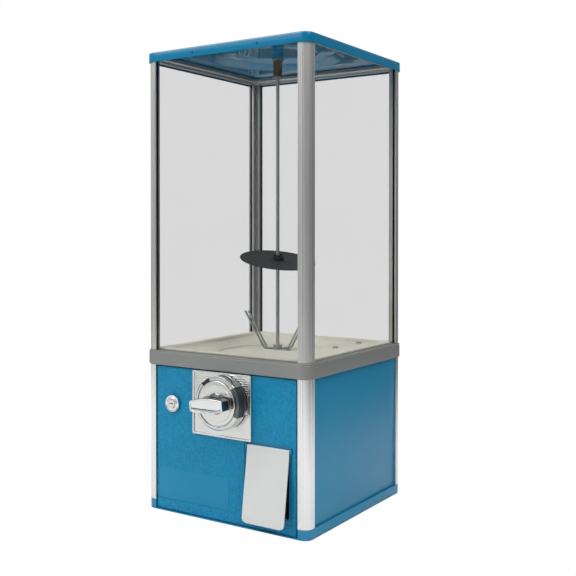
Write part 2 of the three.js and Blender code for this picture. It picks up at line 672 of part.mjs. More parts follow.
function makeMechBody() {
  const cup = turnedOnShaft([[5.2, -96], [33, -96], [33, PLATE_BACK + GAP],
    [30, PLATE_BACK + GAP], [30, -99], [5.2, -99]], 32);
  const coinExit = block(MECH_X - 15, MECH_X + 15, -128, -101, MECH_Z - 40, MECH_Z - 20);
  place(doorGroup, 'coin_mech_body', cut(cup, coinExit), ZINC);
}

function makeHandle() {
  const ends = [[-26.6, -5.4], [-25.6, -6.8], [-21, -8], [-8, -10], [8, -10], [21, -8],
    [25.6, -6.8], [26.6, -5.4], [26.6, 5.4], [25.6, 6.8], [21, 8], [8, 10], [-8, 10],
    [-21, 8], [-25.6, 6.8], [-26.6, 5.4]];
  const cos = Math.cos(HANDLE_TILT);
  const sin = Math.sin(HANDLE_TILT);
  const tilted = (along, across) => outline(ends.map(([x, z]) => [
    MECH_X + x * along * cos - z * across * sin,
    MECH_Z + x * along * sin + z * across * cos,
  ]));
  const lozenge = carriedBack(tilted(1, 1), -176, -158.6);
  const field = carriedBack(tilted(0.9, 0.78), -177, -175);
  const hub = turnedOnShaft([[0.01, -159], [10.5, -159], [14, -154], [25, -153.7],
    [25, -153.4], [0.01, -153.4]], 32);
  const socket = spindle(4.8, -166, -150);
  place(doorGroup, 'handle', cut(join(cut(lozenge, field), hub), socket), CHROME);
}

function makeShaftTrain() {
  place(doorGroup, 'handle_shaft', spindle(4.5, -165.5, -70.5), STEEL);
  const bored = (shape, y0, y1) => cut(carriedBack(shape, y0, y1), spindle(4.8, -120, -60));
  place(doorGroup, 'ratchet_wheel',
    bored(toothed(12, 16, 19.4, 0.9, 0.15, MECH_X, MECH_Z), -112, -108), STEEL);
  place(doorGroup, 'drive_gear',
    bored(toothed(6, 15, 23.5, 0.42, 0.2, MECH_X, MECH_Z), -84, -76), ZINC);
  place(doorGroup, 'shaft_nut', bored(hexagon(14, MECH_X, MECH_Z), -75.7, -71.5), ZINC);
}

// The pawl hangs from a pin at the upper left and clicks over the ratchet wheel.
function makePawl() {
  const px = MECH_X - 18;
  const pz = MECH_Z + 18;
  place(doorGroup, 'pawl_pivot', spindle(1.7, -116, -99.3, px, pz, 16), STEEL);
  const arm = carriedBack(outline([[px - 1.8, pz + 1], [px - 4.4, pz - 16.4],
    [px - 2.2, pz - 16.4], [px + 1.4, pz - 1]]), -112, -108);
  const eye = spindle(3.1, -112, -108, px, pz, 20);
  place(doorGroup, 'ratchet_pawl', cut(join(eye, arm), spindle(2, -114, -106, px, pz, 16)), STEEL);
}

makePosts();
makeTray();
makePanels(cabinet, { left: 'left_panel', right: 'right_panel', back: 'back_panel' },
  TRAY_TOP + GAP, BAND_LOW - GAP, BLUE);
makeBand();
makeDoorPins();
makeCoinBox();
makeChute();
makeHopper();
makeWheel();
makeAgitator();
makeGuard();
makeGuardScrews();
makeRod();
makeBaffle();
makePanels(globe, { left: 'window_left', right: 'window_right', back: 'window_back',
  front: 'window_front' }, BAND_TOP + GAP, POST_TOP, CLEAR);
makeTopFrame();
makeLid();
makeDoor();
makeFlapFrame();
place(doorGroup, 'flap', makeFlap(), FLAP_GREY);
makeLock();
makeCoinPlate();
makeDrum();
makeCoinDisc();
makeMechBody();
makeHandle();
makeShaftTrain();
makePawl();

export default machine;
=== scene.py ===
# %% [markdown]
# # A gumball machine, dressed for a portrait
# The machine arrives as a frame of plain solids that already fit and move. In this lesson we
# keep every size and place from that frame and give each piece the surface it really has:
# powder-coated sheet steel, aluminium extrusions, moulded cream plastic and polished chrome.
# Everything is worked out in millimetres with numpy and becomes metres as it enters Blender.

# %% Load the frame
import json

import bmesh
import bpy
import numpy as np
from mathutils import Matrix, Vector
from mathutils.geometry import tessellate_polygon


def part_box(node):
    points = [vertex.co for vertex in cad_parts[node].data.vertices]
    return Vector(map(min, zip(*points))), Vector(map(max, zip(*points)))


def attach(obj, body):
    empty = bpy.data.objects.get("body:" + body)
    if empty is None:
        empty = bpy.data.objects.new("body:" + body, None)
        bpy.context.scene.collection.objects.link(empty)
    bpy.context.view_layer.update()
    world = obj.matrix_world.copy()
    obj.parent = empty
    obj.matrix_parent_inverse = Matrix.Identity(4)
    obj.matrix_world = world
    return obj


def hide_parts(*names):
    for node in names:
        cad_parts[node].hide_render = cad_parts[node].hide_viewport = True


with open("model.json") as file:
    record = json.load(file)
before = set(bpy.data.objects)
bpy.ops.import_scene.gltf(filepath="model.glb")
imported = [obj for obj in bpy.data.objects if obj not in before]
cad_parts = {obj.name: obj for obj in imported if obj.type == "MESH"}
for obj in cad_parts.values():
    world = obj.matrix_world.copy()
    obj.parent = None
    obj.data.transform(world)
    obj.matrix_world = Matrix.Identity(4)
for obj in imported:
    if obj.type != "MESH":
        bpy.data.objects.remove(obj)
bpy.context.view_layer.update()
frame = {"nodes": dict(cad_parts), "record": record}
MM = 0.001


def span(node):
    """The lowest and highest corner of a frame node, as two arrays in millimetres."""
    low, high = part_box(node)
    return np.array(low) / MM, np.array(high) / MM


# %% [markdown]
# ## The camera
# A product portrait is taken with a fairly long lens, from a little above the middle of the
# machine and well round to its right, so that two faces show. The camera stays nearly level
# and its lens is shifted downwards instead, which keeps the posts upright and parallel.

# %% Camera
CAMERA_PLACE = (0.7157, -1.0878, 0.3904)  # metres: front right, above the middle
DROOP, BEARING = 0.775, 33.62  # degrees: below level, and round from the front
FOCAL_LENGTH, SENSOR_WIDTH = 56.05, 36
SHIFT_X, SHIFT_Y = 0.0254, -0.078


def place_camera():
    """A nearly level camera, front right, whose framing comes from lens shift."""
    data = bpy.data.cameras.new("camera")
    data.lens = FOCAL_LENGTH
    data.sensor_width = SENSOR_WIDTH
    data.shift_x = SHIFT_X
    data.shift_y = SHIFT_Y
    camera = bpy.data.objects.new("camera", data)
    camera.location = CAMERA_PLACE
    camera.rotation_euler = (np.radians(90 - DROOP), 0, np.radians(BEARING))
    bpy.context.scene.collection.objects.link(camera)
    bpy.context.scene.camera = camera


place_camera()

# %% [markdown]
# ## Shader maths in plain Python
# A material is a graph of small sums. Writing them node by node hides the idea, so one small
# class wraps an output socket: adding or multiplying two of them makes the Math node for us.
# A `Recipe` is one material being written down; `add` makes any other node.

# %% The socket wrapper
class Value:
    """One output socket of a material's graph that can be used in arithmetic."""

    def __init__(self, recipe, socket):
        self.recipe = recipe
        self.socket = socket

    def sum(self, operation, first, second):
        settings = {"operation": operation}
        return self.recipe.add("ShaderNodeMath", settings, {0: first, 1: second})

    def __add__(self, other):
        return self.sum("ADD", self, other)

    def __radd__(self, other):
        return self.sum("ADD", other, self)

    def __sub__(self, other):
        return self.sum("SUBTRACT", self, other)

    def __rsub__(self, other):
        return self.sum("SUBTRACT", other, self)

    def __mul__(self, other):
        return self.sum("MULTIPLY", self, other)

    def __rmul__(self, other):
        return self.sum("MULTIPLY", other, self)


class Recipe:
    """A graph in the making: a new material with this name, or the world it is given."""

    def __init__(self, name, owner=None):
        self.owner = owner or bpy.data.materials.new(name)
        self.owner.use_nodes = True
        self.nodes = self.owner.node_tree.nodes
        self.links = self.owner.node_tree.links
        self.nodes.clear()

    def add(self, kind, settings, sockets, output=0):
        """Makes a node: its settings first, then the values or links of its sockets."""
        node = self.nodes.new(kind)
        for key, value in settings.items():
            if key == "stops":
                set_stops(node.color_ramp, value)
            else:
                setattr(node, key, value)
        for key, value in sockets.items():
            if isinstance(value, Value):
                self.links.new(value.socket, node.inputs[key])
            else:
                node.inputs[key].default_value = value
        return None if output is None else Value(self, node.outputs[output])

    def places(self, stretch=(1, 1, 1)):
        """Object coordinates in metres, stretched along each axis."""
        coordinates = self.add("ShaderNodeTexCoord", {}, {}, "Object")
        return self.add("ShaderNodeMapping", {}, {"Vector": coordinates, "Scale": stretch})

    def noise(self, size_mm, detail=3.0, stretch=(1, 1, 1)):
        """Cloudy noise from 0 to 1 whose blotches are about size_mm across."""
        sockets = {"Vector": self.places(stretch), "Scale": 1 / (size_mm * MM),
                   "Detail": detail}
        return self.add("ShaderNodeTexNoise", {}, sockets, "Fac")

    def blend(self, share, first, second):
        """A colour between two colours."""
        sockets = {0: share, 6: first, 7: second}
        return self.add("ShaderNodeMix", {"data_type": "RGBA"}, sockets, 2)

    def bump(self, height, depth_mm):
        """Turns a height from 0 to 1, for ridges of depth_mm, into a surface normal."""
        return self.add("ShaderNodeBump", {}, {"Height": height, "Distance": depth_mm * MM})

    def done(self, **sockets):
        """Ends the recipe with one Principled surface and gives back the material."""
        names = {key.replace("_", " ").title().replace("Ior", "IOR"): value
                 for key, value in sockets.items()}
        surface = self.add("ShaderNodeBsdfPrincipled", {}, names)
        self.add("ShaderNodeOutputMaterial", {}, {"Surface": surface}, None)
        return self.owner


def set_stops(ramp, stops):
    """Sets a colour ramp from a list of (position, colour) pairs."""
    while len(ramp.elements) < len(stops):
        ramp.elements.new(0.5)
    for element, (position, colour) in zip(ramp.elements, stops):
        element.position = position
        element.color = colour


def srgb(red, green, blue):
    """A colour given as screen values from 0 to 255, made linear for the shader."""
    screen = np.array([red, green, blue]) / 255
    linear = np.where(screen <= 0.04045, screen / 12.92, ((screen + 0.055) / 1.055) ** 2.4)
    return (*linear, 1.0)


# %% [markdown]
# ## The finishes
# The door is sprayed with a textured powder coat whose "orange peel" is a millimetre or two
# across; the side panels and the lid are the same blue but smooth. Metals differ mostly in
# how sharply they reflect, so each gets its own roughness, broken up by fine streaks in the
# direction it was drawn, rolled or brushed.

# %% Painted finishes
def orange_peel_blue():
    r = Recipe("orange_peel_blue")
    peel = r.noise(2.6, 1.5) * 0.75 + r.noise(1.1, 1.5) * 0.25
    ridge = (peel - 0.5) * 2.6 + 0.5
    speck = r.blend(ridge, srgb(0, 112, 153), srgb(14, 142, 184))
    tone = r.blend(r.noise(60) * 0.4, speck, srgb(0, 126, 168))
    return r.done(base_color=tone, roughness=0.3 + r.noise(9) * 0.1,
                  normal=r.bump(ridge, 0.8), specular_ior_level=0.22)


def label_blue():
    r = Recipe("label_blue")
    tone = r.blend(r.noise(70), srgb(14, 124, 164), srgb(22, 130, 170))
    return r.done(base_color=tone, roughness=0.36 + r.noise(20) * 0.06,
                  normal=r.bump(r.noise(16, 2.0), 0.05), specular_ior_level=0.25)


def smooth_blue():
    r = Recipe("smooth_blue")
    tone = r.blend(r.noise(90), srgb(18, 120, 158), srgb(28, 128, 166))
    return r.done(base_color=tone, roughness=0.3 + r.noise(25) * 0.08,
                  normal=r.bump(r.noise(14, 2.0), 0.06), specular_ior_level=0.4)


COAT_FROM = 0.6375  # the lid's clear lacquer starts at this height, above the skirt


def glossy_blue():
    r = Recipe("glossy_blue")
    tone = r.blend(r.noise(80), srgb(0, 114, 154), srgb(0, 121, 161))
    height = r.add("ShaderNodeSeparateXYZ", {}, {0: r.places()}, "Z")
    above_skirt = r.add("ShaderNodeMapRange", {}, {
        "Value": height, "From Min": COAT_FROM, "From Max": COAT_FROM + MM})
    return r.done(base_color=tone, roughness=0.12 + r.noise(30) * 0.05,
                  normal=r.bump(r.noise(18, 2.0), 0.02), specular_ior_level=0.16,
                  coat_weight=above_skirt, coat_roughness=0.06)


def grey_paint():
    r = Recipe("grey_paint")
    tone = r.blend(r.noise(50), srgb(122, 124, 122), srgb(132, 134, 132))
    return r.done(base_color=tone, roughness=0.42 + r.noise(12) * 0.08, metallic=0.25,
                  normal=r.bump(r.noise(1.2), 0.03))


def flap_paint():
    r = Recipe("flap_paint")
    tone = r.blend(r.noise(40), srgb(198, 200, 199), srgb(208, 209, 208))
    return r.done(base_color=tone, roughness=0.36 + r.noise(15) * 0.06,
                  normal=r.bump(r.noise(20, 2.0), 0.08), specular_ior_level=0.3)


def matte_black():
    r = Recipe("matte_black")
    tone = r.blend(r.noise(18), srgb(42, 45, 46), srgb(54, 58, 59))
    return r.done(base_color=tone, roughness=0.55 + r.noise(10) * 0.12,
                  normal=r.bump(r.noise(0.8), 0.04), specular_ior_level=0.3)


# %% Metals
def drawn_metal(name, dark, light, roughness, streaks, depth_mm=0.01):
    """A metal with fine streaks: streaks is how the noise is stretched along each axis."""
    r = Recipe(name)
    lines = r.noise(1.0, 3.0, streaks)
    tone = r.blend(lines, dark, light)
    return r.done(base_color=tone, metallic=1.0, roughness=roughness + lines * 0.12,
                  normal=r.bump(lines, depth_mm))


def chrome_plate(name, dark, light, roughness):
    """Chrome over a casting: nearly even in colour, with faint smudges and long waves."""
    r = Recipe(name)
    smudge = r.noise(6, 4.0)
    return r.done(base_color=r.blend(smudge, dark, light), metallic=1.0,
                  roughness=roughness + smudge * 0.08,
                  normal=r.bump(r.noise(3.5, 2.0), 0.03))


# %% Plastics and clear panes
def cream_moulding():
    r = Recipe("cream_moulding")
    tone = r.blend(r.noise(35), srgb(230, 228, 208), srgb(240, 238, 222))
    return r.done(base_color=tone, roughness=0.42 + r.noise(10) * 0.1,
                  normal=r.bump(r.noise(0.7), 0.02), subsurface_weight=0.06,
                  subsurface_radius=(0.004, 0.003, 0.002))


def black_rubber():
    r = Recipe("black_rubber")
    tone = r.blend(r.noise(4), srgb(24, 25, 25), srgb(36, 37, 37))
    return r.done(base_color=tone, roughness=0.65 + r.noise(3) * 0.15,
                  normal=r.bump(r.noise(0.5), 0.03))


def clear_pane():
    r = Recipe("clear_pane")
    haze = r.noise(120, 2.0)
    tone = r.blend(haze, srgb(10, 12, 12), srgb(16, 18, 18))
    return r.done(base_color=tone, roughness=0.02 + haze * 0.02, alpha=0.085 + haze * 0.01,
                  specular_ior_level=0.3)


UPRIGHT = (1, 1, 0.02)
FINISH = {
    "blue_paint": smooth_blue(),
    "door_blue": orange_peel_blue(),
    "label_blue": label_blue(),
    "lid_blue": glossy_blue(),
    "bright_aluminium": drawn_metal("bright_aluminium", srgb(214, 215, 214),
                                    srgb(226, 227, 226), 0.14, UPRIGHT, 0.004),
    "satin_aluminium": drawn_metal("satin_aluminium", srgb(190, 191, 189),
                                   srgb(206, 207, 205), 0.34, UPRIGHT, 0.005),
    "grey_band": grey_paint(),
    "clear_pane": clear_pane(),
    "cream_plastic": cream_moulding(),
    "chrome": chrome_plate("chrome_cast", srgb(198, 199, 196), srgb(210, 211, 208), 0.18),
    "bright_chrome": chrome_plate("chrome_bright", srgb(206, 208, 207),
                                  srgb(218, 220, 219), 0.04),
    # chrome darkened as painted shade, for the dark reflections on the handle's flank and hub
    "shade_painted_chrome": chrome_plate("chrome_painted_shade", srgb(104, 108, 111), srgb(122, 126, 129),
                                0.05),
    # a dark metal as painted shade, for the shaded, dark-reflecting right side of the drum wall
    "shade_painted_casting": drawn_metal("shade_painted_casting", srgb(86, 90, 91), srgb(112, 116, 117), 0.28,
                                (1, 1, 1)),
    "zinc_plate": drawn_metal("zinc_plate", srgb(168, 176, 177), srgb(200, 208, 209),
                              0.26, (1, 1, 1)),
    "baffle_black": matte_black(),
    "rubber_black": black_rubber(),
    "brass": drawn_metal("brass", srgb(128, 100, 62), srgb(160, 130, 88), 0.3, (1, 1, 3)),
    "flap_grey": flap_paint(),
    "bare_steel": drawn_metal("bare_steel", srgb(150, 150, 150), srgb(176, 176, 176),
                              0.34, (1, 0.05, 1)),
}
print("finishes:", len(FINISH))

# %% [markdown]
# ## Turning arrays into meshes
# Nearly every piece here is a skin over a grid of points: rings of a turned part, sections of
# an extrusion, or an outline carried along a line. We call such a closed skin a *shell*, a pair
# of points and faces, and a piece may be built from several shells, as a weldment is built
# from several blanks. Blender then turns all the faces of each shell outwards for us.

# %% Mesh helpers
def grid_faces(rows, columns, wrap_rows=False):
    """The quads between neighbouring points of a grid whose columns run round in a ring."""
    row = np.arange(rows if wrap_rows else rows - 1)[:, None]
    column = np.arange(columns)[None, :]
    below, right = (row + 1) % rows, (column + 1) % columns
    corners = [row * columns + column, row * columns + right,
               below * columns + right, below * columns + column]
    return np.stack(np.broadcast_arrays(*corners), -1).reshape(-1, 4).tolist()


def ring_shell(grid):
    """A shell shaped like a ring: both directions of the grid run round."""
    grid = np.asarray(grid, float)
    return grid.reshape(-1, 3), grid_faces(*grid.shape[:2], wrap_rows=True)


def capped_shell(*stacks):
    """A shell through stacks of loops with flat ends. The first stack is the outside and any
    others are holes, so each end is one flat face, or triangles when it has holes."""
    points, faces, firsts, lasts = [], [], [], []
    offset = 0
    for stack in stacks:
        rows, columns = stack.shape[:2]
        points.append(stack.reshape(-1, 3))
        faces += [[corner + offset for corner in face] for face in grid_faces(rows, columns)]
        firsts.append(np.arange(columns) + offset)
        lasts.append(firsts[-1] + (rows - 1) * columns)
        offset += rows * columns
    points = np.vstack(points)
    for loops in (firsts, lasts):
        order = np.concatenate(loops)
        if len(loops) == 1:
            faces.append(order.tolist())
        else:
            corners = [[Vector(p) for p in points[loop]] for loop in loops]
            faces += [[int(order[k]) for k in face] for face in tessellate_polygon(corners)]
    return points, faces


SHARP_FROM = 35  # degrees between two faces, from which their edge stays sharp


def shown(name, mesh, sharp_from):
    """An object in the scene for a mesh, smooth except where its faces meet steeply."""
    mesh.shade_smooth()
    mesh.set_sharp_from_angle(angle=np.radians(sharp_from))
    piece = bpy.data.objects.new(name, mesh)
    bpy.context.scene.collection.objects.link(piece)
    return piece


def make_piece(name, *shells):
    """A mesh object from shells given in millimetres, with every face turned outwards."""
    points, faces = [], []
    offset = 0
    for shell_points, shell_faces in shells:
        points.append(np.asarray(shell_points) * MM)
        faces += [[corner + offset for corner in face] for face in shell_faces]
        offset += len(shell_points)
    mesh = bpy.data.meshes.new(name)
    mesh.from_pydata(np.vstack(points).tolist(), [], faces)
    work = bmesh.new()
    work.from_mesh(mesh)
    bmesh.ops.recalc_face_normals(work, faces=work.faces)
    work.to_mesh(mesh)
    work.free()
    return shown(name, mesh, SHARP_FROM)


BODY_OF = {node: body for body, nodes in frame["record"]["behaviour"]["bodies"].items()
           for node in nodes}
SLOT_OF = {part["node"]: part["material_slot"] for part in frame["record"]["subparts"]}


def fit(piece, *nodes, like=None, finish=None):
    """Gives a piece its finish and body. It stands for frame nodes, or is an extra like one."""
    pattern = like or nodes[0]
    piece.data.materials.clear()
    piece.data.materials.append(FINISH[finish or SLOT_OF[pattern]])
    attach(piece, BODY_OF[pattern])
    if nodes:
        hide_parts(*nodes)
    return piece


# %% [markdown]
# Sharp corners catch no light, so real edges are always a little round. `softened` rounds the
# corners of any outline: each corner is replaced by a short curve that leaves one side and
# arrives on the next, `(1-t)^2 A + 2t(1-t) P + t^2 B`. `inset` moves an outline inwards.

# %% Outlines
def softened(outline, reach, steps=4):
    """Rounds the corners of a closed outline. reach is how far along its sides each curve
    starts: one number for all corners, or one for each."""
    p = np.asarray(outline, float)
    before, after = np.roll(p, 1, 0) - p, np.roll(p, -1, 0) - p
    reach = np.broadcast_to(np.asarray(reach, float).reshape(-1, 1), (len(p), 1))
    ends = []
    for side in (before, after):
        length = np.linalg.norm(side, axis=1, keepdims=True)
        ends.append((p + side / length * np.minimum(reach, 0.48 * length))[:, None])
    t = np.linspace(0, 1, steps + 1)[None, :, None]
    curves = (1 - t) ** 2 * ends[0] + 2 * t * (1 - t) * p[:, None] + t**2 * ends[1]
    return curves.reshape(-1, p.shape[1])


def inset(outline, distance):
    """Moves each point of a closed outline inwards by distance from both of its sides."""
    p = np.asarray(outline, float)
    after = np.roll(p, -1, 0)
    turning = np.sign(np.sum(p[:, 0] * after[:, 1] - after[:, 0] * p[:, 1]))
    along = after - p
    along /= np.linalg.norm(along, axis=1, keepdims=True) + 1e-9
    normal = np.stack([-along[:, 1], along[:, 0]], 1) * turning
    previous = np.roll(normal, 1, 0)
    lean = 1 + np.sum(normal * previous, 1, keepdims=True)
    return p + distance * (normal + previous) / np.maximum(lean, 0.5)


def rectangle(x0, x1, y0, y1, corner=0.0):
    sides = np.array([[x0, y0], [x1, y0], [x1, y1], [x0, y1]], float)
    return softened(sides, corner) if corner else sides


def circle(radius, x=0.0, y=0.0, sides=64):
    angle = np.linspace(0, 2 * np.pi, sides, endpoint=False)
    return np.stack([x + radius * np.cos(angle), y + radius * np.sin(angle)], 1)


# %% Carrying and turning
ORDER = {"x": (1, 2, 0), "y": (0, 2, 1), "z": (0, 1, 2)}


def lifted(flat, heights, axis):
    """Flat loops (rows, points, 2) placed at their heights along x, y or z."""
    flat = np.asarray(flat, float)
    out = np.zeros((*flat.shape[:2], 3))
    first, second, third = ORDER[axis]
    out[..., first], out[..., second] = flat[..., 0], flat[..., 1]
    out[..., third] = np.asarray(heights, float)[:, None]
    return out


def carried(outlines, start, end, axis="z", edge=0.4, steps=3):
    """A bar or plate: outlines carried from start to end, every rim rounded by edge. The
    first outline is the outside, the others are holes."""
    turn = np.linspace(0, np.pi / 2, steps + 1)
    pull, rise = edge * (1 - np.sin(turn)), edge * (1 - np.cos(turn))
    pulls = np.concatenate([pull, pull[::-1]])
    heights = np.concatenate([start + rise, end - rise[::-1]])
    stacks = []
    for number, outline in enumerate(outlines):
        side = -1 if number else 1
        stacks.append(lifted([inset(outline, side * p) for p in pulls], heights, axis))
    return capped_shell(*stacks)


def box_shell(x0, x1, y0, y1, z0, z1, edge=0.3):
    return carried([rectangle(x0, x1, y0, y1, edge)], z0, z1, "z", edge)


def turned(profile, centre=(0, 0), axis="z", sides=72, sweep=None):
    """A lathe part: the closed profile of (radius, height) turned about an axis through
    centre. sweep gives the first and last angle, in degrees, of a part that is an arc."""
    profile = np.asarray(profile, float)
    turn = np.radians(sweep) if sweep else (0, 2 * np.pi)
    angle = np.linspace(*turn, sides, endpoint=bool(sweep))[:, None]
    flat = np.stack([centre[0] + profile[:, 0] * np.cos(angle),
                     centre[1] + profile[:, 0] * np.sin(angle)], -1)
    grid = lifted(flat, np.zeros(sides), axis)
    grid[..., ORDER[axis][2]] = profile[:, 1]
    return capped_shell(grid) if sweep else ring_shell(grid)


# %% [markdown]
# ## Refining what the frame already has
# Many inner pieces only need their facets smoothed and their edges eased. A copy of the
# frame's mesh is merged into one skin, its coplanar triangles are joined into clean faces,
# and a Bevel modifier eases the edges. The frame's own mesh is never touched.

# %% Refined copies
WELD = 2e-6  # metres: corners nearer than this are one
FLAT_DEGREES, EASED_FROM = 1.0, 38


def refined(node, ease):
    """A smoothed copy of a frame node that stands for it, its edges eased by ease mm."""
    mesh = bpy.data.meshes.new(node + "_eased")
    work = bmesh.new()
    work.from_mesh(frame["nodes"][node].data)
    bmesh.ops.remove_doubles(work, verts=work.verts, dist=WELD)
    bmesh.ops.dissolve_limit(work, angle_limit=np.radians(FLAT_DEGREES), verts=work.verts,
                             edges=work.edges)
    work.to_mesh(mesh)
    work.free()
    piece = shown(node + "_eased", mesh, EASED_FROM)
    bevel = piece.modifiers.new("ease", "BEVEL")
    bevel.width = ease * MM
    bevel.segments = 2
    bevel.limit_method = "ANGLE"
    bevel.angle_limit = np.radians(EASED_FROM)
    bevel.harden_normals = True
    fit(piece, node)


EASED = {
    "coin_box": 0.5, "chute": 0.5, "outlet_guard": 0.8, "dispensing_wheel": 0.5,
    "guard_screw_front": 0.25, "guard_screw_back": 0.25, "rod_nut": 0.4,
    "agitator_nut": 0.4, "door_hinge_pin_upper": 0.2, "door_hinge_pin_lower": 0.2,
    "lid_boss": 0.4, "rod_sleeve": 0.3, "sleeve_washer_upper": 0.15,
    "sleeve_washer_lower": 0.2, "lid_lock_plug": 0.25, "flap_hinge_pin": 0.15,
    "door_lock_nut": 0.4, "door_lock_plug": 0.2, "door_lock_cam": 0.3,
    "coin_mech_body": 0.4, "pawl_pivot": 0.2, "ratchet_pawl": 0.25,
    "handle_shaft": 0.4, "ratchet_wheel": 0.3, "drive_gear": 0.3, "shaft_nut": 0.3,
}
for node, ease in EASED.items():
    refined(node, ease)
print("refined copies:", len(EASED))

# %% [markdown]
# ## The posts
# Each corner post is an aluminium extrusion: an angle with a round outer corner, fine grooves
# drawn along its faces, and a slot in each leg for the window or panel. An extrusion is one
# section carried upwards, so all its detail is in the section: the outer run is sampled
# finely and each groove pushes it inwards by `depth * exp(-((s - place) / width)^2)`.

# %% Post section
POST_LEG = 9
SLOT_NEAR, SLOT_FAR, SLOT_DEEP = 2.6, 5.8, 5
CORNER = 12
GROOVES = (1.4, 3.6, 7.6, 19.4, 22.8, 25.2)
GROOVE_DEPTH, GROOVE_WIDTH = 0.45, 0.3
OUTER_POINTS = 130


def post_section(wide, deep):
    """The section with its outer faces on the axes. Its outer run goes down one face, round
    the corner of radius CORNER and along the other; s is the distance travelled."""
    side, front = deep - CORNER, wide - CORNER
    bend = CORNER * np.pi / 2
    s = np.linspace(0, side + bend + front, OUTER_POINTS)
    turn = np.clip((s - side) / bend, 0, 1) * np.pi / 2
    depth = sum(GROOVE_DEPTH * np.exp(-(((s - place) / GROOVE_WIDTH) ** 2))
                for place in GROOVES)
    reach = CORNER - depth
    x = CORNER - reach * np.cos(turn) + np.clip(s - side - bend, 0, None)
    y = CORNER - reach * np.sin(turn) + np.clip(side - s, 0, None)
    y = np.where(s > side + bend, depth, y)
    slots = [[wide, SLOT_NEAR], [wide - SLOT_DEEP, SLOT_NEAR], [wide - SLOT_DEEP, SLOT_FAR],
             [wide, SLOT_FAR], [wide, POST_LEG], [POST_LEG, POST_LEG], [POST_LEG, deep],
             [SLOT_FAR, deep], [SLOT_FAR, deep - SLOT_DEEP], [SLOT_NEAR, deep - SLOT_DEEP],
             [SLOT_NEAR, deep]]
    return np.vstack([np.stack([x, y], 1), slots])


def make_posts():
    for storey in ("lower", "upper"):
        for corner in ("front_left", "front_right", "back_left", "back_right"):
            node = f"{storey}_post_{corner}"
            low, high = span(node)
            section = post_section(*(high - low)[:2])
            for axis, near in enumerate(("left", "front")):
                outer, inward = (low[axis], 1) if near in corner else (high[axis], -1)
                section[:, axis] = outer + inward * section[:, axis]
            shell = carried([section], low[2], high[2], "z", 0.12, 1)
            fit(make_piece(f"{node}_extrusion", shell), node)
    print("posts of", len(section), "points a section")


make_posts()

# %% [markdown]
# ## Panels, windows and their seals
# The cabinet panels and the windows slide into the slots of the posts. A window rattles if it
# touches metal, so a black rubber channel sits on each upright edge; it shows as a dark line
# beside every upper post. The channel is a U-shaped section carried up the window.

# %% Sheets in the slots
def sheet_box(node, name, edge):
    low, high = span(node)
    shell = box_shell(low[0], high[0], low[1], high[1], low[2], high[2], edge)
    fit(make_piece(name, shell), node)


for side in ("left", "right", "back"):
    sheet_box(f"{side}_panel", f"{side}_panel_sheet", 0.5)
for side in ("left", "right", "back", "front"):
    sheet_box(f"window_{side}", f"window_{side}_pane", 0.35)

# %% Window seals
SEAL_WALL, SEAL_REACH, SEAL_GAP = 0.28, 4.9, 0.04


def seal_section(end, inward, face_low, face_high):
    """A U in plan: along runs across the window from its end, across is its thickness."""
    outer, mouth = end - inward * SEAL_WALL, end + inward * SEAL_REACH
    foot, low, high = end - inward * SEAL_GAP, face_low - SEAL_GAP, face_high + SEAL_GAP
    return np.array([[outer, face_low - SEAL_WALL], [mouth, face_low - SEAL_WALL],
                     [mouth, low], [foot, low], [foot, high], [mouth, high],
                     [mouth, face_high + SEAL_WALL], [outer, face_high + SEAL_WALL]])


def make_seals():
    for side in ("left", "right", "back", "front"):
        low, high = span(f"window_{side}")
        along, across = (1, 0) if side in ("left", "right") else (0, 1)
        for word, end, inward in (("low", low[along], 1), ("high", high[along], -1)):
            flat = seal_section(end, inward, low[across], high[across])
            if along == 1:
                flat = flat[:, ::-1]
            shell = carried([flat], low[2] + 0.2, high[2] - 0.2, "z", 0.02, 1)
            piece = make_piece(f"window_{side}_seal_{word}", shell)
            piece.data.materials.append(FINISH["rubber_black"])
            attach(piece, "root")
    print("seals: 8, wall", SEAL_WALL, "mm")


make_seals()

# %% [markdown]
# ## Rounded squares
# The band, the frame under the lid, the lid and the hopper are all rings whose plan is a
# square with round corners, and two of them turn into circles on the way in. Rings with the
# same number of points, spaced alike, can be joined whatever their shape, so the circle takes
# the bearings of a rounded square's points.

# %% Square and round rings
ARC_STEPS, SIDE_STEPS = 8, 15


def square_ring(half, corner, z):
    """Points round a square: arcs of radius corner joined by evenly divided sides."""
    turn = np.linspace(0, np.pi / 2, ARC_STEPS + 1)
    centre = half - corner
    arc = centre + corner * np.stack([np.cos(turn), np.sin(turn)], 1)
    share = np.linspace(0, 1, SIDE_STEPS + 2)[1:-1, None]
    side = (1 - share) * arc[-1] + share * (arc[-1] * [-1, 1])
    quarter = np.vstack([arc, side])
    spin = np.array([[0, 1], [-1, 0]])
    flat = np.vstack([quarter @ np.linalg.matrix_power(spin, k) for k in range(4)])
    return np.column_stack([flat, np.full(len(flat), z)])


def round_ring(radius, z):
    like = square_ring(110, 10, 0)
    bearing = np.arctan2(like[:, 1], like[:, 0])
    return np.stack([radius * np.cos(bearing), radius * np.sin(bearing),
                     np.full(len(bearing), z)], 1)


def square_frame(profile, soften):
    """A frame: a closed profile of (half, corner, z), softened, run round the square."""
    return ring_shell([square_ring(*row) for row in softened(profile, soften, 3)])


# %% Band and top frame
BAND_INSIDE, BAND_CORNER = 113, 14
RAIL_INSIDE, RAIL_SEAT = 119, 124.5


def make_band():
    """The band, with a fine groove round it just below its top edge."""
    low, high = span("mid_frame")
    half, corner = high[0], BAND_CORNER
    groove = high[2] - 2.2
    profile = [[half - 0.5, corner, low[2]], [half, corner, low[2] + 0.8],
               [half, corner, groove - 0.7], [half - 0.6, corner, groove],
               [half, corner, groove + 0.7], [half, corner, high[2] - 0.6],
               [half - 1.4, corner - 1, high[2]], [BAND_INSIDE, 10, high[2]],
               [BAND_INSIDE, 10, low[2]]]
    ring = square_frame(profile, 0.5)
    fit(make_piece("mid_frame_band", ring), "mid_frame")


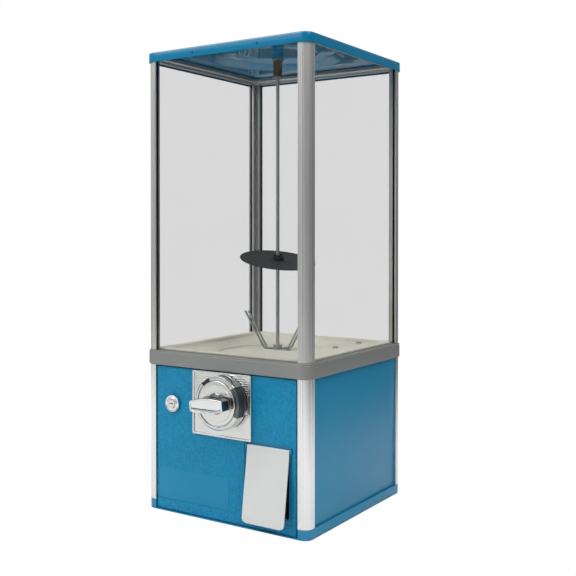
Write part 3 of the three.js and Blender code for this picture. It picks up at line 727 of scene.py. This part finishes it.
def make_top_frame():
    """The rail under the lid, wider at its top, where a ledge reaches inwards."""
    low, high = span("top_frame")
    half, ledge = high[0], low[2] + 4.0
    profile = [[half, 11, low[2]], [half, 11, high[2]], [RAIL_INSIDE, 14, high[2]],
               [RAIL_INSIDE, 14, ledge], [RAIL_INSIDE + 1.8, 13, ledge - 0.6],
               [RAIL_SEAT, 12, ledge - 0.6], [RAIL_SEAT, 12, low[2]]]
    fit(make_piece("top_frame_rail", square_frame(profile, 0.4)), "top_frame")


make_band()
make_top_frame()

# %% [markdown]
# ## The lid
# The lid is one pressing: a square skirt, a nearly flat top with a round crown pushed up out
# of it, and a shallow ring pressed into the crown for stiffness. The ring and the crown show
# as bright circles from below. The inside is the same profile moved in by the sheet's
# thickness.

# %% Lid
LID_WALL, LID_EDGE, LID_HOLE = 1.1, 640, 9.4


def lid_rings(half, edge, crown):
    """The pressing from the skirt's foot to the centre hole, as squares and then circles."""
    foot = span("lid")[0][2]
    squares = [(half, foot), (half, edge - 1.6), (half - 0.3, edge - 0.7),
               (half - 0.9, edge - 0.15), (half - 1.8, edge)]
    circles = [(99, edge + 1.0), (96.5, edge + 1.2), (95, edge + 1.9),
               (86, crown - 1.4), (84.5, crown - 0.5), (82, crown), (64, crown),
               (62.5, crown - 0.35), (60, crown - 1.5), (58, crown - 1.6), (55.5, crown - 0.4),
               (54, crown), (20, crown), (LID_HOLE, crown)]
    rings = [square_ring(size, CORNER, z) for size, z in squares]
    return rings + [round_ring(radius, z) for radius, z in circles]


def make_lid():
    low, high = span("lid")
    outside = lid_rings(high[0], LID_EDGE, high[2])
    inside = lid_rings(high[0] - LID_WALL, LID_EDGE - LID_WALL, high[2] - LID_WALL)
    fit(make_piece("lid_pressing", ring_shell(outside + inside[::-1])), "lid",
        finish="lid_blue")
    print("lid rises", round(high[2] - low[2], 1), "mm")


make_lid()

# %% Rivets in the skirt
RIVET_RADIUS, RIVET_DOME = 1.7, 0.55


def rivet(x, z, face, out):
    """A small domed head on the front or back of the skirt; out is -1 or 1 along y."""
    rows = [(RIVET_RADIUS, face)]
    rows += [(RIVET_RADIUS * np.cos(a) + 0.05, face + out * RIVET_DOME * np.sin(a))
             for a in np.linspace(0, np.pi / 2, 6)]
    flat = [circle(radius, x, z, 20) for radius, _ in rows]
    return capped_shell(lifted(flat, [y for _, y in rows], "y"))


def make_rivets():
    low, high = span("lid")
    shells = []
    for x in (-50, 56):
        shells.append(rivet(x, low[2] + 5.8, low[1] + 0.1, -1))
        shells.append(rivet(x, low[2] + 5.8, high[1] - 0.1, 1))
    piece = fit(make_piece("lid_rivets", *shells), like="lid", finish="rubber_black")


make_rivets()

# %% [markdown]
# ## Tray
# The tray under the cabinet is a shallow pan with four solid corner feet that the posts stand
# on. Its front wall stands back so that the door can close over it, which leaves only a thin
# sill below the door. In plan the wall is one outline with one hole, carried up.

# %% Base tray
TRAY_FRONT, TRAY_FRONT_INSIDE, SILL = -121.8, -117.5, 1.5
TRAY_INSIDE = 126.8
FOOT_WIDE, FOOT_DEEP = 15.5, 16.5


def make_tray():
    low, high = span("base_tray")
    half = high[0]
    foot_x, foot_y = half - FOOT_WIDE, half - FOOT_DEEP
    arc = square_ring(half, CORNER, 0)[:ARC_STEPS + 1, :2]
    outline = np.vstack([[[foot_x, -half]], arc[::-1] * [1, -1], arc, arc[::-1] * [-1, 1],
                         arc * [-1, -1],
                         [[-foot_x, -half], [-foot_x, TRAY_FRONT], [foot_x, TRAY_FRONT]]])
    n, f = TRAY_INSIDE, TRAY_FRONT_INSIDE
    hollow = np.array([[-foot_x, f], [foot_x, f], [foot_x, -foot_y], [n, -foot_y],
                       [n, foot_y], [foot_x, foot_y], [foot_x, n], [-foot_x, n],
                       [-foot_x, foot_y], [-n, foot_y], [-n, -foot_y], [-foot_x, -foot_y]])
    wall = carried([outline, hollow], SILL - 0.1, high[2], "z", 0.5)
    floor = carried([square_ring(half, CORNER, 0)[:, :2]], low[2], SILL, "z", 0.5)
    fit(make_piece("base_tray_pan", wall, floor), "base_tray")


make_tray()

# %% [markdown]
# ## Hopper
# The cream hopper lies on the band. Inside its square rim a short steep wall drops to a
# narrow ledge, and from there the bowl slopes down to the round well that the dispensing
# wheel turns in. Only its upper half is seen, so the bowl is made finely as a run of rings
# that begin square and end round.

# %% Hopper
LEDGE_DROP, BOWL_CURVE = 4.6, 1.5
WELL, WELL_FLOOR, UNDERSIDE = 88.0, 197.0, 193.5


def make_hopper():
    low, high = span("hopper")
    half, rim = high[0], high[2]
    ledge = rim - LEDGE_DROP
    rings = [square_ring(half, 8, rim - 0.5), square_ring(half - 0.5, 8, rim),
             square_ring(113.2, 10, rim), square_ring(112.6, 10, rim - 0.4),
             square_ring(111.2, 10, ledge + 0.5), square_ring(110.6, 10, ledge),
             square_ring(107.4, 10, ledge - 0.2), square_ring(106.6, 10, ledge - 0.6)]
    square, bottom = square_ring(106.2, 10, ledge - 1.1), round_ring(WELL + 0.9, 214.6)
    for t in np.linspace(0, 1, 9):
        ring = (1 - t) * square + t * bottom
        ring[:, 2] = bottom[:, 2] + (square - bottom)[:, 2] * (1 - t) ** BOWL_CURVE
        rings.append(ring)
    rings += [round_ring(*row) for row in (
        (WELL + 0.2, 214.0), (WELL, 213.2), (WELL, low[2] + 3), (71, low[2] + 3),
        (71, WELL_FLOOR), (6, WELL_FLOOR), (6, UNDERSIDE), (68, UNDERSIDE), (68, low[2]),
        (91, low[2]), (91, 210.5))]
    rings += [square_ring(106, 10, 216.6), square_ring(110.8, 10, 218.2),
              square_ring(111.8, 10, 219), square_ring(111.8, 10, 223.8),
              square_ring(half, 8, 223.8)]
    fit(make_piece("hopper_bowl", ring_shell(rings)), "hopper")


make_hopper()

# %% [markdown]
# ## Rod, agitator and baffle
# The rod is threaded where its nuts sit. A thread is a helix, so its radius at height z and
# bearing a is `R - d * |2 frac(z / pitch - a / 2pi) - 1|`, faded out where the thread ends.

# %% Centre rod
PITCH, THREAD_DEPTH = 1.0, 0.34
THREAD_BELOW, THREAD_ABOVE, RUN_OUT = 46, 22, 2  # lengths of thread, and of its fading end


def make_rod():
    low, high = span("centre_rod")
    radius = high[0]
    bottom = np.arange(low[2] + 0.6, low[2] + THREAD_BELOW, PITCH / 4)
    top = np.arange(high[2] - THREAD_ABOVE, high[2] - 0.6, PITCH / 4)
    z = np.concatenate([bottom, np.linspace(bottom[-1] + 1, top[0] - 1, 12), top])[:, None]
    bearing = np.linspace(0, 2 * np.pi, 24, endpoint=False)[None, :]
    wave = np.abs(2 * ((z / PITCH - bearing / (2 * np.pi)) % 1) - 1)
    fade = (np.clip((low[2] + (THREAD_BELOW - RUN_OUT) - z) / RUN_OUT, 0, 1)
            + np.clip((z - high[2] + (THREAD_ABOVE - RUN_OUT)) / RUN_OUT, 0, 1))
    r = radius - THREAD_DEPTH * wave * fade
    grid = np.stack([r * np.cos(bearing), r * np.sin(bearing), z + 0 * bearing], -1)
    foot = grid[:1] * [0.8, 0.8, 0] + [0, 0, low[2]]
    head = grid[-1:] * [0.8, 0.8, 0] + [0, 0, high[2]]
    shell = capped_shell(np.concatenate([foot, grid, head]))
    fit(make_piece("centre_rod_threaded", shell), "centre_rod")


make_rod()

# %% Wires and tubes
def smooth_path(points, steps):
    """A curve through the points: Catmull-Rom pieces, each a cubic that passes through its
    two middle points with the slope of the chord between its neighbours."""
    p = np.asarray(points, float)
    p = np.vstack([2 * p[0] - p[1], p, 2 * p[-1] - p[-2]])
    t = np.linspace(0, 1, steps, endpoint=False)[:, None]
    pieces = [0.5 * (2 * b + (c - a) * t + (2 * a - 5 * b + 4 * c - d) * t**2
                     + (3 * b - a - 3 * c + d) * t**3)
              for a, b, c, d in zip(p, p[1:], p[2:], p[3:])]
    return np.vstack(pieces + [p[-2:-1]])


def tube(path, radius, across, sides=14):
    """A round bar on a path with domed ends. across is a direction the path never takes."""
    along = np.gradient(path, axis=0)
    along /= np.linalg.norm(along, axis=1, keepdims=True)
    side = np.cross(along, across)
    side /= np.linalg.norm(side, axis=1, keepdims=True)
    up = np.cross(along, side)
    angle = np.linspace(0, 2 * np.pi, sides, endpoint=False)[None, :, None]
    round_section = np.cos(angle) * side[:, None] + np.sin(angle) * up[:, None]
    dome = np.radians([15, 45, 70])[:, None, None]
    cap = radius * np.cos(dome)
    first = path[0] + cap * round_section[:1] - radius * np.sin(dome) * along[0]
    last = path[-1] + cap * round_section[-1:] + radius * np.sin(dome) * along[-1]
    body = path[:, None] + radius * round_section
    return capped_shell(np.concatenate([first[::-1], body, last]))


# %% Agitator
ARMS_TOWARDS = (0.833, 0.554)  # the direction that the arms point in
WIRE_RADIUS = 1.5


def spun(shell, angle):
    """A shell turned about the z axis."""
    c, s = np.cos(angle), np.sin(angle)
    points, faces = shell
    return points @ np.array([[c, s, 0], [-s, c, 0], [0, 0, 1]]), faces


def make_agitator():
    """A shaped plate, two blocks, and two bent wires that rise from each block."""
    low, _ = span("agitator")
    bearing = np.arctan2(ARMS_TOWARDS[1], ARMS_TOWARDS[0])
    plate_top = low[2] + 2.2
    bar = softened([[-19, -6.5], [-10.5, -6.5], [-7.5, -9], [7.5, -9], [10.5, -6.5],
                    [19, -6.5], [19, 6.5], [10.5, 6.5], [7.5, 9], [-7.5, 9],
                    [-10.5, 6.5], [-19, 6.5]], 2)
    shells = [carried([bar, circle(2.9, sides=32)], low[2], plate_top, "z", 0.35)]
    for hand in (-1, 1):
        for beside in (-2.4, 2.4):
            y = beside * 0.7
            steps = [(11, plate_top + 1.1), (14.5, plate_top + 1.2), (18, 222.2),
                     (21, 227.6), (44.5, 273.6)]
            route = [[hand * (x + beside), y, z] for x, z in steps]
            shells.append(tube(smooth_path(route, 8), WIRE_RADIUS, (0, 1, 0)))
        shells.append(box_shell(*sorted((hand * 9.5, hand * 13.5)), -4.6, 4.6,
                                plate_top, plate_top + 2.4, 0.6))
    fit(make_piece("agitator_arms", *[spun(shell, bearing) for shell in shells]), "agitator")


make_agitator()

# %% Baffle
FALL_X, FALL_Y = 0.2, -0.127  # how far the baffle falls in each mm along x and back along y


def leaning(shell, height):
    """Tips a shell so that it is low towards the front right, and lifts it to its height."""
    points, faces = shell
    low_side = Matrix.Rotation(np.arctan2(FALL_Y, FALL_X), 3, "Z")
    tilt = Matrix.Rotation(np.arctan(np.hypot(FALL_X, FALL_Y)), 3, "Y")
    return points @ np.array(low_side @ tilt).T + [0, 0, height], faces


def make_baffle():
    low, high = span("baffle_disc")
    middle = (low[2] + high[2]) / 2
    disc = softened([[6.5, -0.75], [52.5, -0.75], [55, -0.45], [55, 0.75], [52.8, 0.75],
                     [52.2, 0.3], [14, 0.3], [13, 0.75], [6.5, 0.75]], 0.25, 3)
    fit(make_piece("baffle_disc_pressed", leaning(turned(disc, sides=120), middle)),
        "baffle_disc")
    collar = softened([[4.9, -3.2], [9, -3.2], [9, -1.2], [6.2, -1.2], [6.2, 1.2], [9, 1.2],
                       [7, 8.5], [4.9, 8.5]], 0.4, 3)
    fit(make_piece("baffle_collar_moulded", leaning(turned(collar), middle)), "baffle_collar")


make_baffle()

# %% [markdown]
# ## The door
# The door is a shallow pan: a face with folded edges, round holes for the coin mechanism and
# the lock, and a square opening for the flap. Outline and holes are carried back together,
# and the outer stack of loops goes on round the folded flange and back inside.

# %% Door pan
SHEET, FOLD = 1.2, 1.3
RECESS = (34, 108.6, 15, 116)
MECH_X, MECH_Z, MECH_HOLE, LOCK_HOLE = 4, 164, 34.5, 8.6
LOCK_X, LOCK_Z = np.mean(span("door_lock_barrel"), 0)[[0, 2]]


def make_door():
    low, high = span("door_panel")
    face, lip = low[1], high[1]
    turn = np.linspace(0, np.pi / 2, 5)
    rows = [(FOLD * (1 - np.sin(a)), face + FOLD * (1 - np.cos(a))) for a in turn]
    rows += [(0, lip - 0.2), (0.2, lip), (SHEET - 0.2, lip), (SHEET, lip - 0.2),
             (SHEET + 0.05, face + SHEET + 0.6), (SHEET + 0.6, face + SHEET)]
    outside = lifted([rectangle(low[0] + p, high[0] - p, low[2] + p, high[2] - p, 1.6)
                      for p, _ in rows], [y for _, y in rows], "y")
    holes = []
    for loop in (rectangle(*RECESS, 4), circle(MECH_HOLE, MECH_X, MECH_Z, 72),
                 circle(LOCK_HOLE, LOCK_X, LOCK_Z, 40)):
        pulls = [(-0.7, face), (-0.35, face + 0.12), (-0.1, face + 0.35), (0, face + 0.7),
                 (0, face + SHEET)]
        holes.append(lifted([inset(loop, pull) for pull, _ in pulls],
                            [y for _, y in pulls], "y"))
    fit(make_piece("door_pan", capped_shell(outside, *holes)), "door_panel",
        finish="door_blue")


LABEL_PANEL = (-112, 8, 18.4, 61)


def make_door_trim():
    """The plain label panel, the foot strip and the edge strip, each a thin raised plate."""
    low, high = span("door_panel")
    face = low[1]
    label = carried([rectangle(*LABEL_PANEL, 1.5)], face - 0.3, face + 0.1, "y", 0.25)
    fit(make_piece("door_label_panel", label), like="door_panel", finish="label_blue")
    foot = carried([rectangle(low[0] + 1.4, RECESS[0] - 0.9, low[2] + 1.2, 16.6, 0.8)],
                   face - 0.45, face + 0.1, "y", 0.35)
    edge = carried([rectangle(RECESS[1] + 2.6, high[0] - 1.1, low[2] + 1.2, RECESS[3], 0.8)],
                   face - 0.45, face + 0.1, "y", 0.35)
    fit(make_piece("door_pressed_strips", foot, edge), like="door_panel",
        finish="door_blue")


make_door()
make_door_trim()

# %% Flap frame
PIN_Y, PIN_Z = -131.9, 110
FRAME_FRONT, FRAME_OPENING = -129.5, (38, 102.4, 22, 107)
EARS, EAR_SHEET, EAR_REACH = (36.6, 105.4), 2.4, 1.5
POST_ROOM = 0.8


def make_flap_frame():
    """The flap's frame and the two ears that hold its pin. POST_ROOM off its right side and
    the short EAR_REACH keep both clear of the corner post when the door stands open."""
    low, high = span("flap_frame")
    outer = rectangle(low[0], high[0] - POST_ROOM, low[2], high[2], 2)
    shells = [carried([outer, rectangle(*FRAME_OPENING, 3)], FRAME_FRONT, high[1], "y", 0.3)]
    for x in EARS:
        ear = rectangle(PIN_Y - EAR_REACH, FRAME_FRONT + 0.2, PIN_Z - 3, PIN_Z + 3, 1.2)
        shells.append(carried([ear], x, x + EAR_SHEET, "x", 0.25))
    fit(make_piece("flap_frame_pressed", *shells), "flap_frame")


make_flap_frame()

# %% [markdown]
# ## The flap
# The flap is one sheet rolled round its pin, straight for a few millimetres and then leaning
# outwards. We follow that path from the side, and at every step lay a flat section across it
# whose width shrinks near the end: `w = W - R + sqrt(R^2 - d^2)`, which rounds its corners.

# %% Flap
FLAP_SHEET, FLAP_CORNER, FLAP_LENGTH = 1.6, 6.5, 97.4
FLAP_LEAN = np.radians(8.2)
ROLL_RADIUS, ROLL_BORE = 1.9, 1.25


def flap_path():
    """Points (y, z) down the middle of the sheet, with a soft bend below the roll."""
    front = PIN_Y - ROLL_RADIUS + FLAP_SHEET / 2
    straight = [[front, PIN_Z - 0.5], [front, PIN_Z - 3.2]]
    bend = np.linspace(0, FLAP_LEAN, 7)[1:]
    points = [np.array(p, float) for p in straight]
    for angle in bend:
        points.append(points[-1] + 0.75 * np.array([-np.sin(angle), -np.cos(angle)]))
    used = sum(np.linalg.norm(b - a) for a, b in zip(points, points[1:]))
    rest = FLAP_LENGTH - used
    down = np.array([-np.sin(FLAP_LEAN), -np.cos(FLAP_LEAN)])
    corner = FLAP_CORNER * (1 - np.cos(np.linspace(0, np.pi / 2, 9)))
    stations = np.concatenate([[0.4, 0.5], (rest - FLAP_CORNER + corner) / rest])
    start = points[-1]
    return np.array(points + [start + rest * share * down for share in stations])


def make_flap():
    low, high = span("flap")
    path = flap_path()
    foot = path[-1]
    d = np.clip(FLAP_CORNER - np.linalg.norm(path - foot, axis=1), 0, None)
    half = (high[0] - low[0]) / 2 - FLAP_CORNER + np.sqrt(FLAP_CORNER**2 - d**2)
    along = np.gradient(path, axis=0)
    along /= np.linalg.norm(along, axis=1, keepdims=True)
    normal = np.stack([-along[:, 1], along[:, 0]], 1)
    grid = []
    for centre, out, width in zip(path, normal, half):
        section = rectangle(-width, width, -FLAP_SHEET / 2, FLAP_SHEET / 2, 0.45)
        yz = centre + section[:, 1:] * out
        grid.append(np.column_stack([(low[0] + high[0]) / 2 + section[:, 0], yz]))
    blade = capped_shell(np.array(grid))
    roll = carried([circle(ROLL_RADIUS, PIN_Y, PIN_Z, 32),
                    circle(ROLL_BORE, PIN_Y, PIN_Z, 32)], low[0], high[0], "x", 0.2)
    fit(make_piece("flap_plate", blade, roll), "flap")
    print("flap foot at", np.round(foot, 1))


make_flap()

# %% [markdown]
# ## Coin mechanism
# A cast plate carries the drum. Its field is sunk inside a narrow rim and ribbed in its upper
# half. The drum is a face plate with a wall round it that is open at the top, where the coin
# goes in; the wall's right side is grooved. Arcs of a lathe profile make the wall.

# %% Coin plate
PLATE_RIM, RIB_PITCH, RIB_HIGH = 2.6, 3.0, 1.3
BORE_RADIUS, BOSS_X, BOSS_Z = 22, 37.4, 152.6


def make_coin_plate():
    low, high = span("coin_plate")
    front, back, field = low[1], high[1], low[1] + 1.2
    outer = rectangle(low[0], high[0], low[2], high[2], 1.2)
    inner = rectangle(low[0] + PLATE_RIM, high[0] - PLATE_RIM, low[2] + PLATE_RIM,
                      high[2] - PLATE_RIM, 0.8)
    bore = circle(BORE_RADIUS, MECH_X, MECH_Z)
    shells = [carried([outer, bore], field, back, "y", 0.15),
              carried([outer, inner], front, field + 0.1, "y", 0.45)]
    for z in np.arange(MECH_Z + 2, high[2] - RIB_PITCH, RIB_PITCH):
        rib = rectangle(front + 0.15, field + 0.1, z, z + RIB_HIGH, 0.35)
        shells.append(carried([rib], low[0] + 2.2, high[0] - 2.2, "x", 0.1, 1))
    boss = lifted([circle(r, BOSS_X, BOSS_Z, 28) for r in (3.1, 3.1, 2.8, 2.2)],
                  [field + 0.1, front - 1.0, front - 1.4, front - 1.6], "y")
    shells.append(capped_shell(boss))
    fit(make_piece("coin_plate_cast", *shells), "coin_plate")


make_coin_plate()

# %% Coin drum
DRUM_INSIDE = 32.5


def clock(hours):
    """An hour on a clock face as degrees from the x axis."""
    return 90 - hours * 30


def make_drum():
    """The face plate and the wall, which is plain on the left and grooved on the right, where a
    dark metal is painted shade for its shaded, dark-reflecting side.
    """
    low, high = span("coin_drum")
    front, back, radius = low[1], high[1], high[0] - MECH_X
    centre = (MECH_X, MECH_Z)
    disc = softened([[5.2, front + 0.7], [9, front + 0.7], [10, front], [28.6, front],
                     [29.6, front + 0.5], [29.9, front + 3.0], [5.2, front + 3.0]], 0.4, 3)
    lip = [[28.5, front + 1.6], [30.6, front + 1.2], [31.4, front + 0.15],
           [33.6, front + 0.15]]
    root = [[radius, back], [DRUM_INSIDE, back], [DRUM_INSIDE, front + 3.2],
            [28.5, front + 3.2]]
    grooves = [[radius, front + 1.8], [radius, front + 6], [33.4, front + 6.3],
               [33.4, front + 9.6], [radius - 0.7, front + 9.9],
               [radius - 0.7, front + 12], [33.6, front + 12.3], [33.6, front + 14.4],
               [radius, front + 14.7]]
    rim = softened(lip + [[radius, front + 2.4]] + root, 0.5, 3)
    grooved = softened(lip + grooves + root, 0.3, 3)
    shells = [turned(disc, centre, "y", 96),
              turned(rim, centre, "y", 96, (clock(3.9), clock(10.5))),
              turned(rim, centre, "y", 12, (clock(1.66), clock(1.4)))]
    fit(make_piece("coin_drum_cast", *shells), "coin_drum")
    # the grooved right side gets a dark metal: painted shade
    side = make_piece("coin_drum_side",
                      turned(grooved, centre, "y", 40, (clock(3.88), clock(1.68))))
    fit(side, like="coin_drum", finish="shade_painted_casting")


def make_coin_track():
    """What is seen through the open top of the drum: the guide that the coin runs down, its
    bright outer lip, and to the left of it a black arc that is painted shade for the dark
    throat."""
    low, high = span("coin_drum")
    front, back = low[1], high[1]
    for name, finish, inner, outer, near, sweep in (
            ("coin_track", "zinc_plate", 30.2, 34.9, front + 1.4, (-0.72, 1.38)),
            ("coin_track_lip", "bright_chrome", 35.0, 36.0, front + 0.8, (0.0, 1.4)),
            # a black arc as painted shade where the drum's throat lies in shadow
            ("coin_throat_painted_shade", "rubber_black", 30.2, 35.2, front + 2.6, (-1.48, -0.74))):
        wall = softened([[inner, near], [outer, near], [outer, back - 0.4],
                         [inner, back - 0.4]], 0.4, 3)
        arc = turned(wall, (MECH_X, MECH_Z), "y", 36, [clock(hour) for hour in sweep])
        fit(make_piece(name, arc), like="coin_drum", finish=finish)


def make_coin_disc():
    low, high = span("coin_disc")
    radius = high[0] - MECH_X
    disc = softened([[4.8, low[1]], [radius, low[1]], [radius, high[1]], [4.8, high[1]]],
                    0.5, 3)
    fit(make_piece("coin_disc_plated", turned(disc, (MECH_X, MECH_Z), "y", 96)),
        "coin_disc")


make_drum()
make_coin_track()
make_coin_disc()

# %% [markdown]
# ## Handle
# The handle is a chromed casting: a lozenge with a raised border, standing on a hub that
# flares towards the drum. The lozenge is one outline carried forwards, rolled over its front
# edge, stepped down inside the border and closed.

# %% Handle
HANDLE_TILT = 0.08  # radians
LOZENGE_BACK = -158.6


def make_handle():
    """The lozenge's flank and the hub behind it in a chrome darkened as painted shade, for the
    dark reflections they show; the lozenge's bright front, and the plate at its foot."""
    low, high = span("handle")
    front, back, brow = low[1], LOZENGE_BACK, low[1] + 1.0
    upper = np.array([[26.6, 5.4], [25.6, 6.8], [21, 8], [8, 9.6], [-8, 9.6], [-21, 8],
                      [-25.6, 6.8], [-26.6, 5.4]])
    outline = np.vstack([upper, -upper])
    half = outline.max(0)
    c, s = np.cos(HANDLE_TILT), np.sin(HANDLE_TILT)

    def stack(rows):
        """Loops of the lozenge, each given as how far it is drawn in and its y."""
        loops = [softened(outline * (1 - pull / half) @ [[c, s], [-s, c]], 1.0)
                 + [MECH_X, MECH_Z] for pull, _ in rows]
        return capped_shell(lifted(loops, [y for _, y in rows], "y"))

    turn = np.linspace(0, np.pi / 2, 6)
    cap = [(0.3, brow), (0, brow - 0.2)]
    cap += [(0.8 * (1 - np.cos(a)), front + 0.8 * (1 - np.sin(a))) for a in turn]
    cap += [(1.9, front), (2.2, front + 0.2), (2.4, front + 0.5), (2.7, front + 0.6)]
    t = np.linspace(0, 1, 12)
    hub = np.column_stack([10.5 + 3.5 * t**2, back + 4.5 * t])
    hub = np.vstack([[[5.0, back]], hub, [[14, high[1] - 0.3], [5.0, high[1] - 0.3]]])
    plate = [[5.0, high[1] - 0.3], [24.4, high[1] - 0.3], [24.6, high[1]], [5.0, high[1]]]
    centre = (MECH_X, MECH_Z)
    flank = stack([(1.0, back), (0.3, back - 0.3), (0, back - 0.9), (0, brow + 0.1),
                   (0.4, brow)])
    # flank and hub in darkened chrome: painted shade for their dark reflections
    fit(make_piece("handle_cast", flank, turned(hub, centre, "y")), "handle",
        finish="shade_painted_chrome")
    fit(make_piece("handle_cap", stack(cap)), like="handle", finish="bright_chrome")
    fit(make_piece("handle_foot", turned(plate, centre, "y")), like="handle")


make_handle()

# %% Lock bezel
def make_lock():
    _, high = span("door_lock_barrel")
    face = span("door_panel")[0][1]
    bezel = softened([[6.2, face - 4.3], [7.4, face - 4.5], [9.4, face - 3.4],
                      [11.5, face - 4.0], [12, face - 2.6], [12, face - 0.3],
                      [8.2, face - 0.3], [8.2, high[1]], [6.2, high[1]]], 0.5, 3)
    fit(make_piece("door_lock_bezel", turned(bezel, (LOCK_X, LOCK_Z), "y", 72)),
        "door_lock_barrel", finish="bright_chrome")


make_lock()

# %% [markdown]
# ## The studio
# The floor and the surroundings are a plain pale white. Polished metal shows whatever stands
# around it, so the sky that lights the machine is darker near the horizon than above, which
# gives the chrome its dark streaks, while the camera itself sees plain white behind.

# %% Floor, sky and lamps
SKY_STRENGTH = 0.76
SWEEP_CENTRE = (-0.35, -0.55, 0)
SWEEP_NEAR, SWEEP_FAR = 0.9, 2.1  # metres: where the white sweep starts to fade, and its end
FLOOR_HALF = 12000
LAMP_AIM = (0, 0, 0.3)  # metres


def add_floor():
    """A white sweep of paper under the machine on a darker studio floor, which polished
    metal and the lid's underside show. The camera itself sees even white all round."""
    square = rectangle(-FLOOR_HALF, FLOOR_HALF, -FLOOR_HALF, FLOOR_HALF)
    floor = make_piece("floor", carried([square], -20, -0.2, "z", 0.1, 1))
    r = Recipe("white_floor")
    distance = r.add("ShaderNodeVectorMath", {"operation": "DISTANCE"},
                     {0: r.places(), 1: SWEEP_CENTRE}, "Value")
    stops = [(SWEEP_NEAR / 4, srgb(250, 250, 250)), (SWEEP_FAR / 4, srgb(78, 80, 82))]
    paper = r.add("ShaderNodeValToRGB", {"stops": stops}, {"Fac": distance * 0.25})
    lit = r.add("ShaderNodeBsdfDiffuse", {}, {"Color": paper})
    plain = r.add("ShaderNodeEmission", {}, {"Color": (1, 1, 1, 1)})
    seen = r.add("ShaderNodeLightPath", {}, {}, "Is Camera Ray")
    surface = r.add("ShaderNodeMixShader", {}, {0: seen, 1: lit, 2: plain})
    r.add("ShaderNodeOutputMaterial", {}, {"Surface": surface}, None)
    floor.data.materials.append(r.owner)


def add_sky():
    """Light that comes from everywhere, dimmer from two sides that polished metal shows."""
    world = bpy.data.worlds.new("sky")
    bpy.context.scene.world = world
    r = Recipe("sky", world)
    direction = r.add("ShaderNodeTexCoord", {}, {}, "Generated")

    def dimmed(side, *shades):
        """1 away from a side, falling to the shades as a direction turns towards it."""
        turned_to = r.add("ShaderNodeVectorMath", {"operation": "DOT_PRODUCT"},
                          {0: direction, 1: side}, "Value")
        stops = [(place, (shade, shade, shade, 1)) for place, shade in shades]
        return r.add("ShaderNodeValToRGB", {"stops": stops}, {"Fac": turned_to * 0.5 + 0.5})

    behind = dimmed((0.55, 0.83, 0), (0, 1), (0.55, 0.95), (0.85, 0.55), (1, 0.28))
    beside = dimmed((0.83, -0.55, 0), (0, 1), (0.72, 1), (0.92, 0.62), (1, 0.5))
    seen = r.add("ShaderNodeLightPath", {}, {}, "Is Camera Ray")
    lit = r.add("ShaderNodeBackground", {},
                {"Color": (1, 1, 1, 1), "Strength": behind * beside * SKY_STRENGTH})
    plain = r.add("ShaderNodeBackground", {}, {"Color": (1, 1, 1, 1)})
    sky = r.add("ShaderNodeMixShader", {}, {0: seen, 1: lit, 2: plain})
    r.add("ShaderNodeOutputWorld", {}, {"Surface": sky}, None)


def add_lamp(name, place, size, watts):
    """A square soft box at place that faces the middle of the machine."""
    data = bpy.data.lights.new(name, "AREA")
    data.size = size
    data.energy = watts
    lamp = bpy.data.objects.new(name, data)
    lamp.location = place
    aim = np.array(LAMP_AIM) - np.array(place)
    lamp.rotation_euler = (np.arctan2(np.hypot(aim[0], aim[1]), -aim[2]), 0,
                           np.arctan2(aim[1], aim[0]) - np.pi / 2)
    bpy.context.scene.collection.objects.link(lamp)


add_floor()
add_sky()
add_lamp("key_left", (-1.3, -2.0, 2.3), 1.6, 32)
add_lamp("fill_right", (1.7, -0.5, 2.4), 1.6, 26)
add_lamp("top", (0.2, 0.2, 2.6), 2.0, 14)
bpy.context.scene.view_settings.view_transform = "Standard"
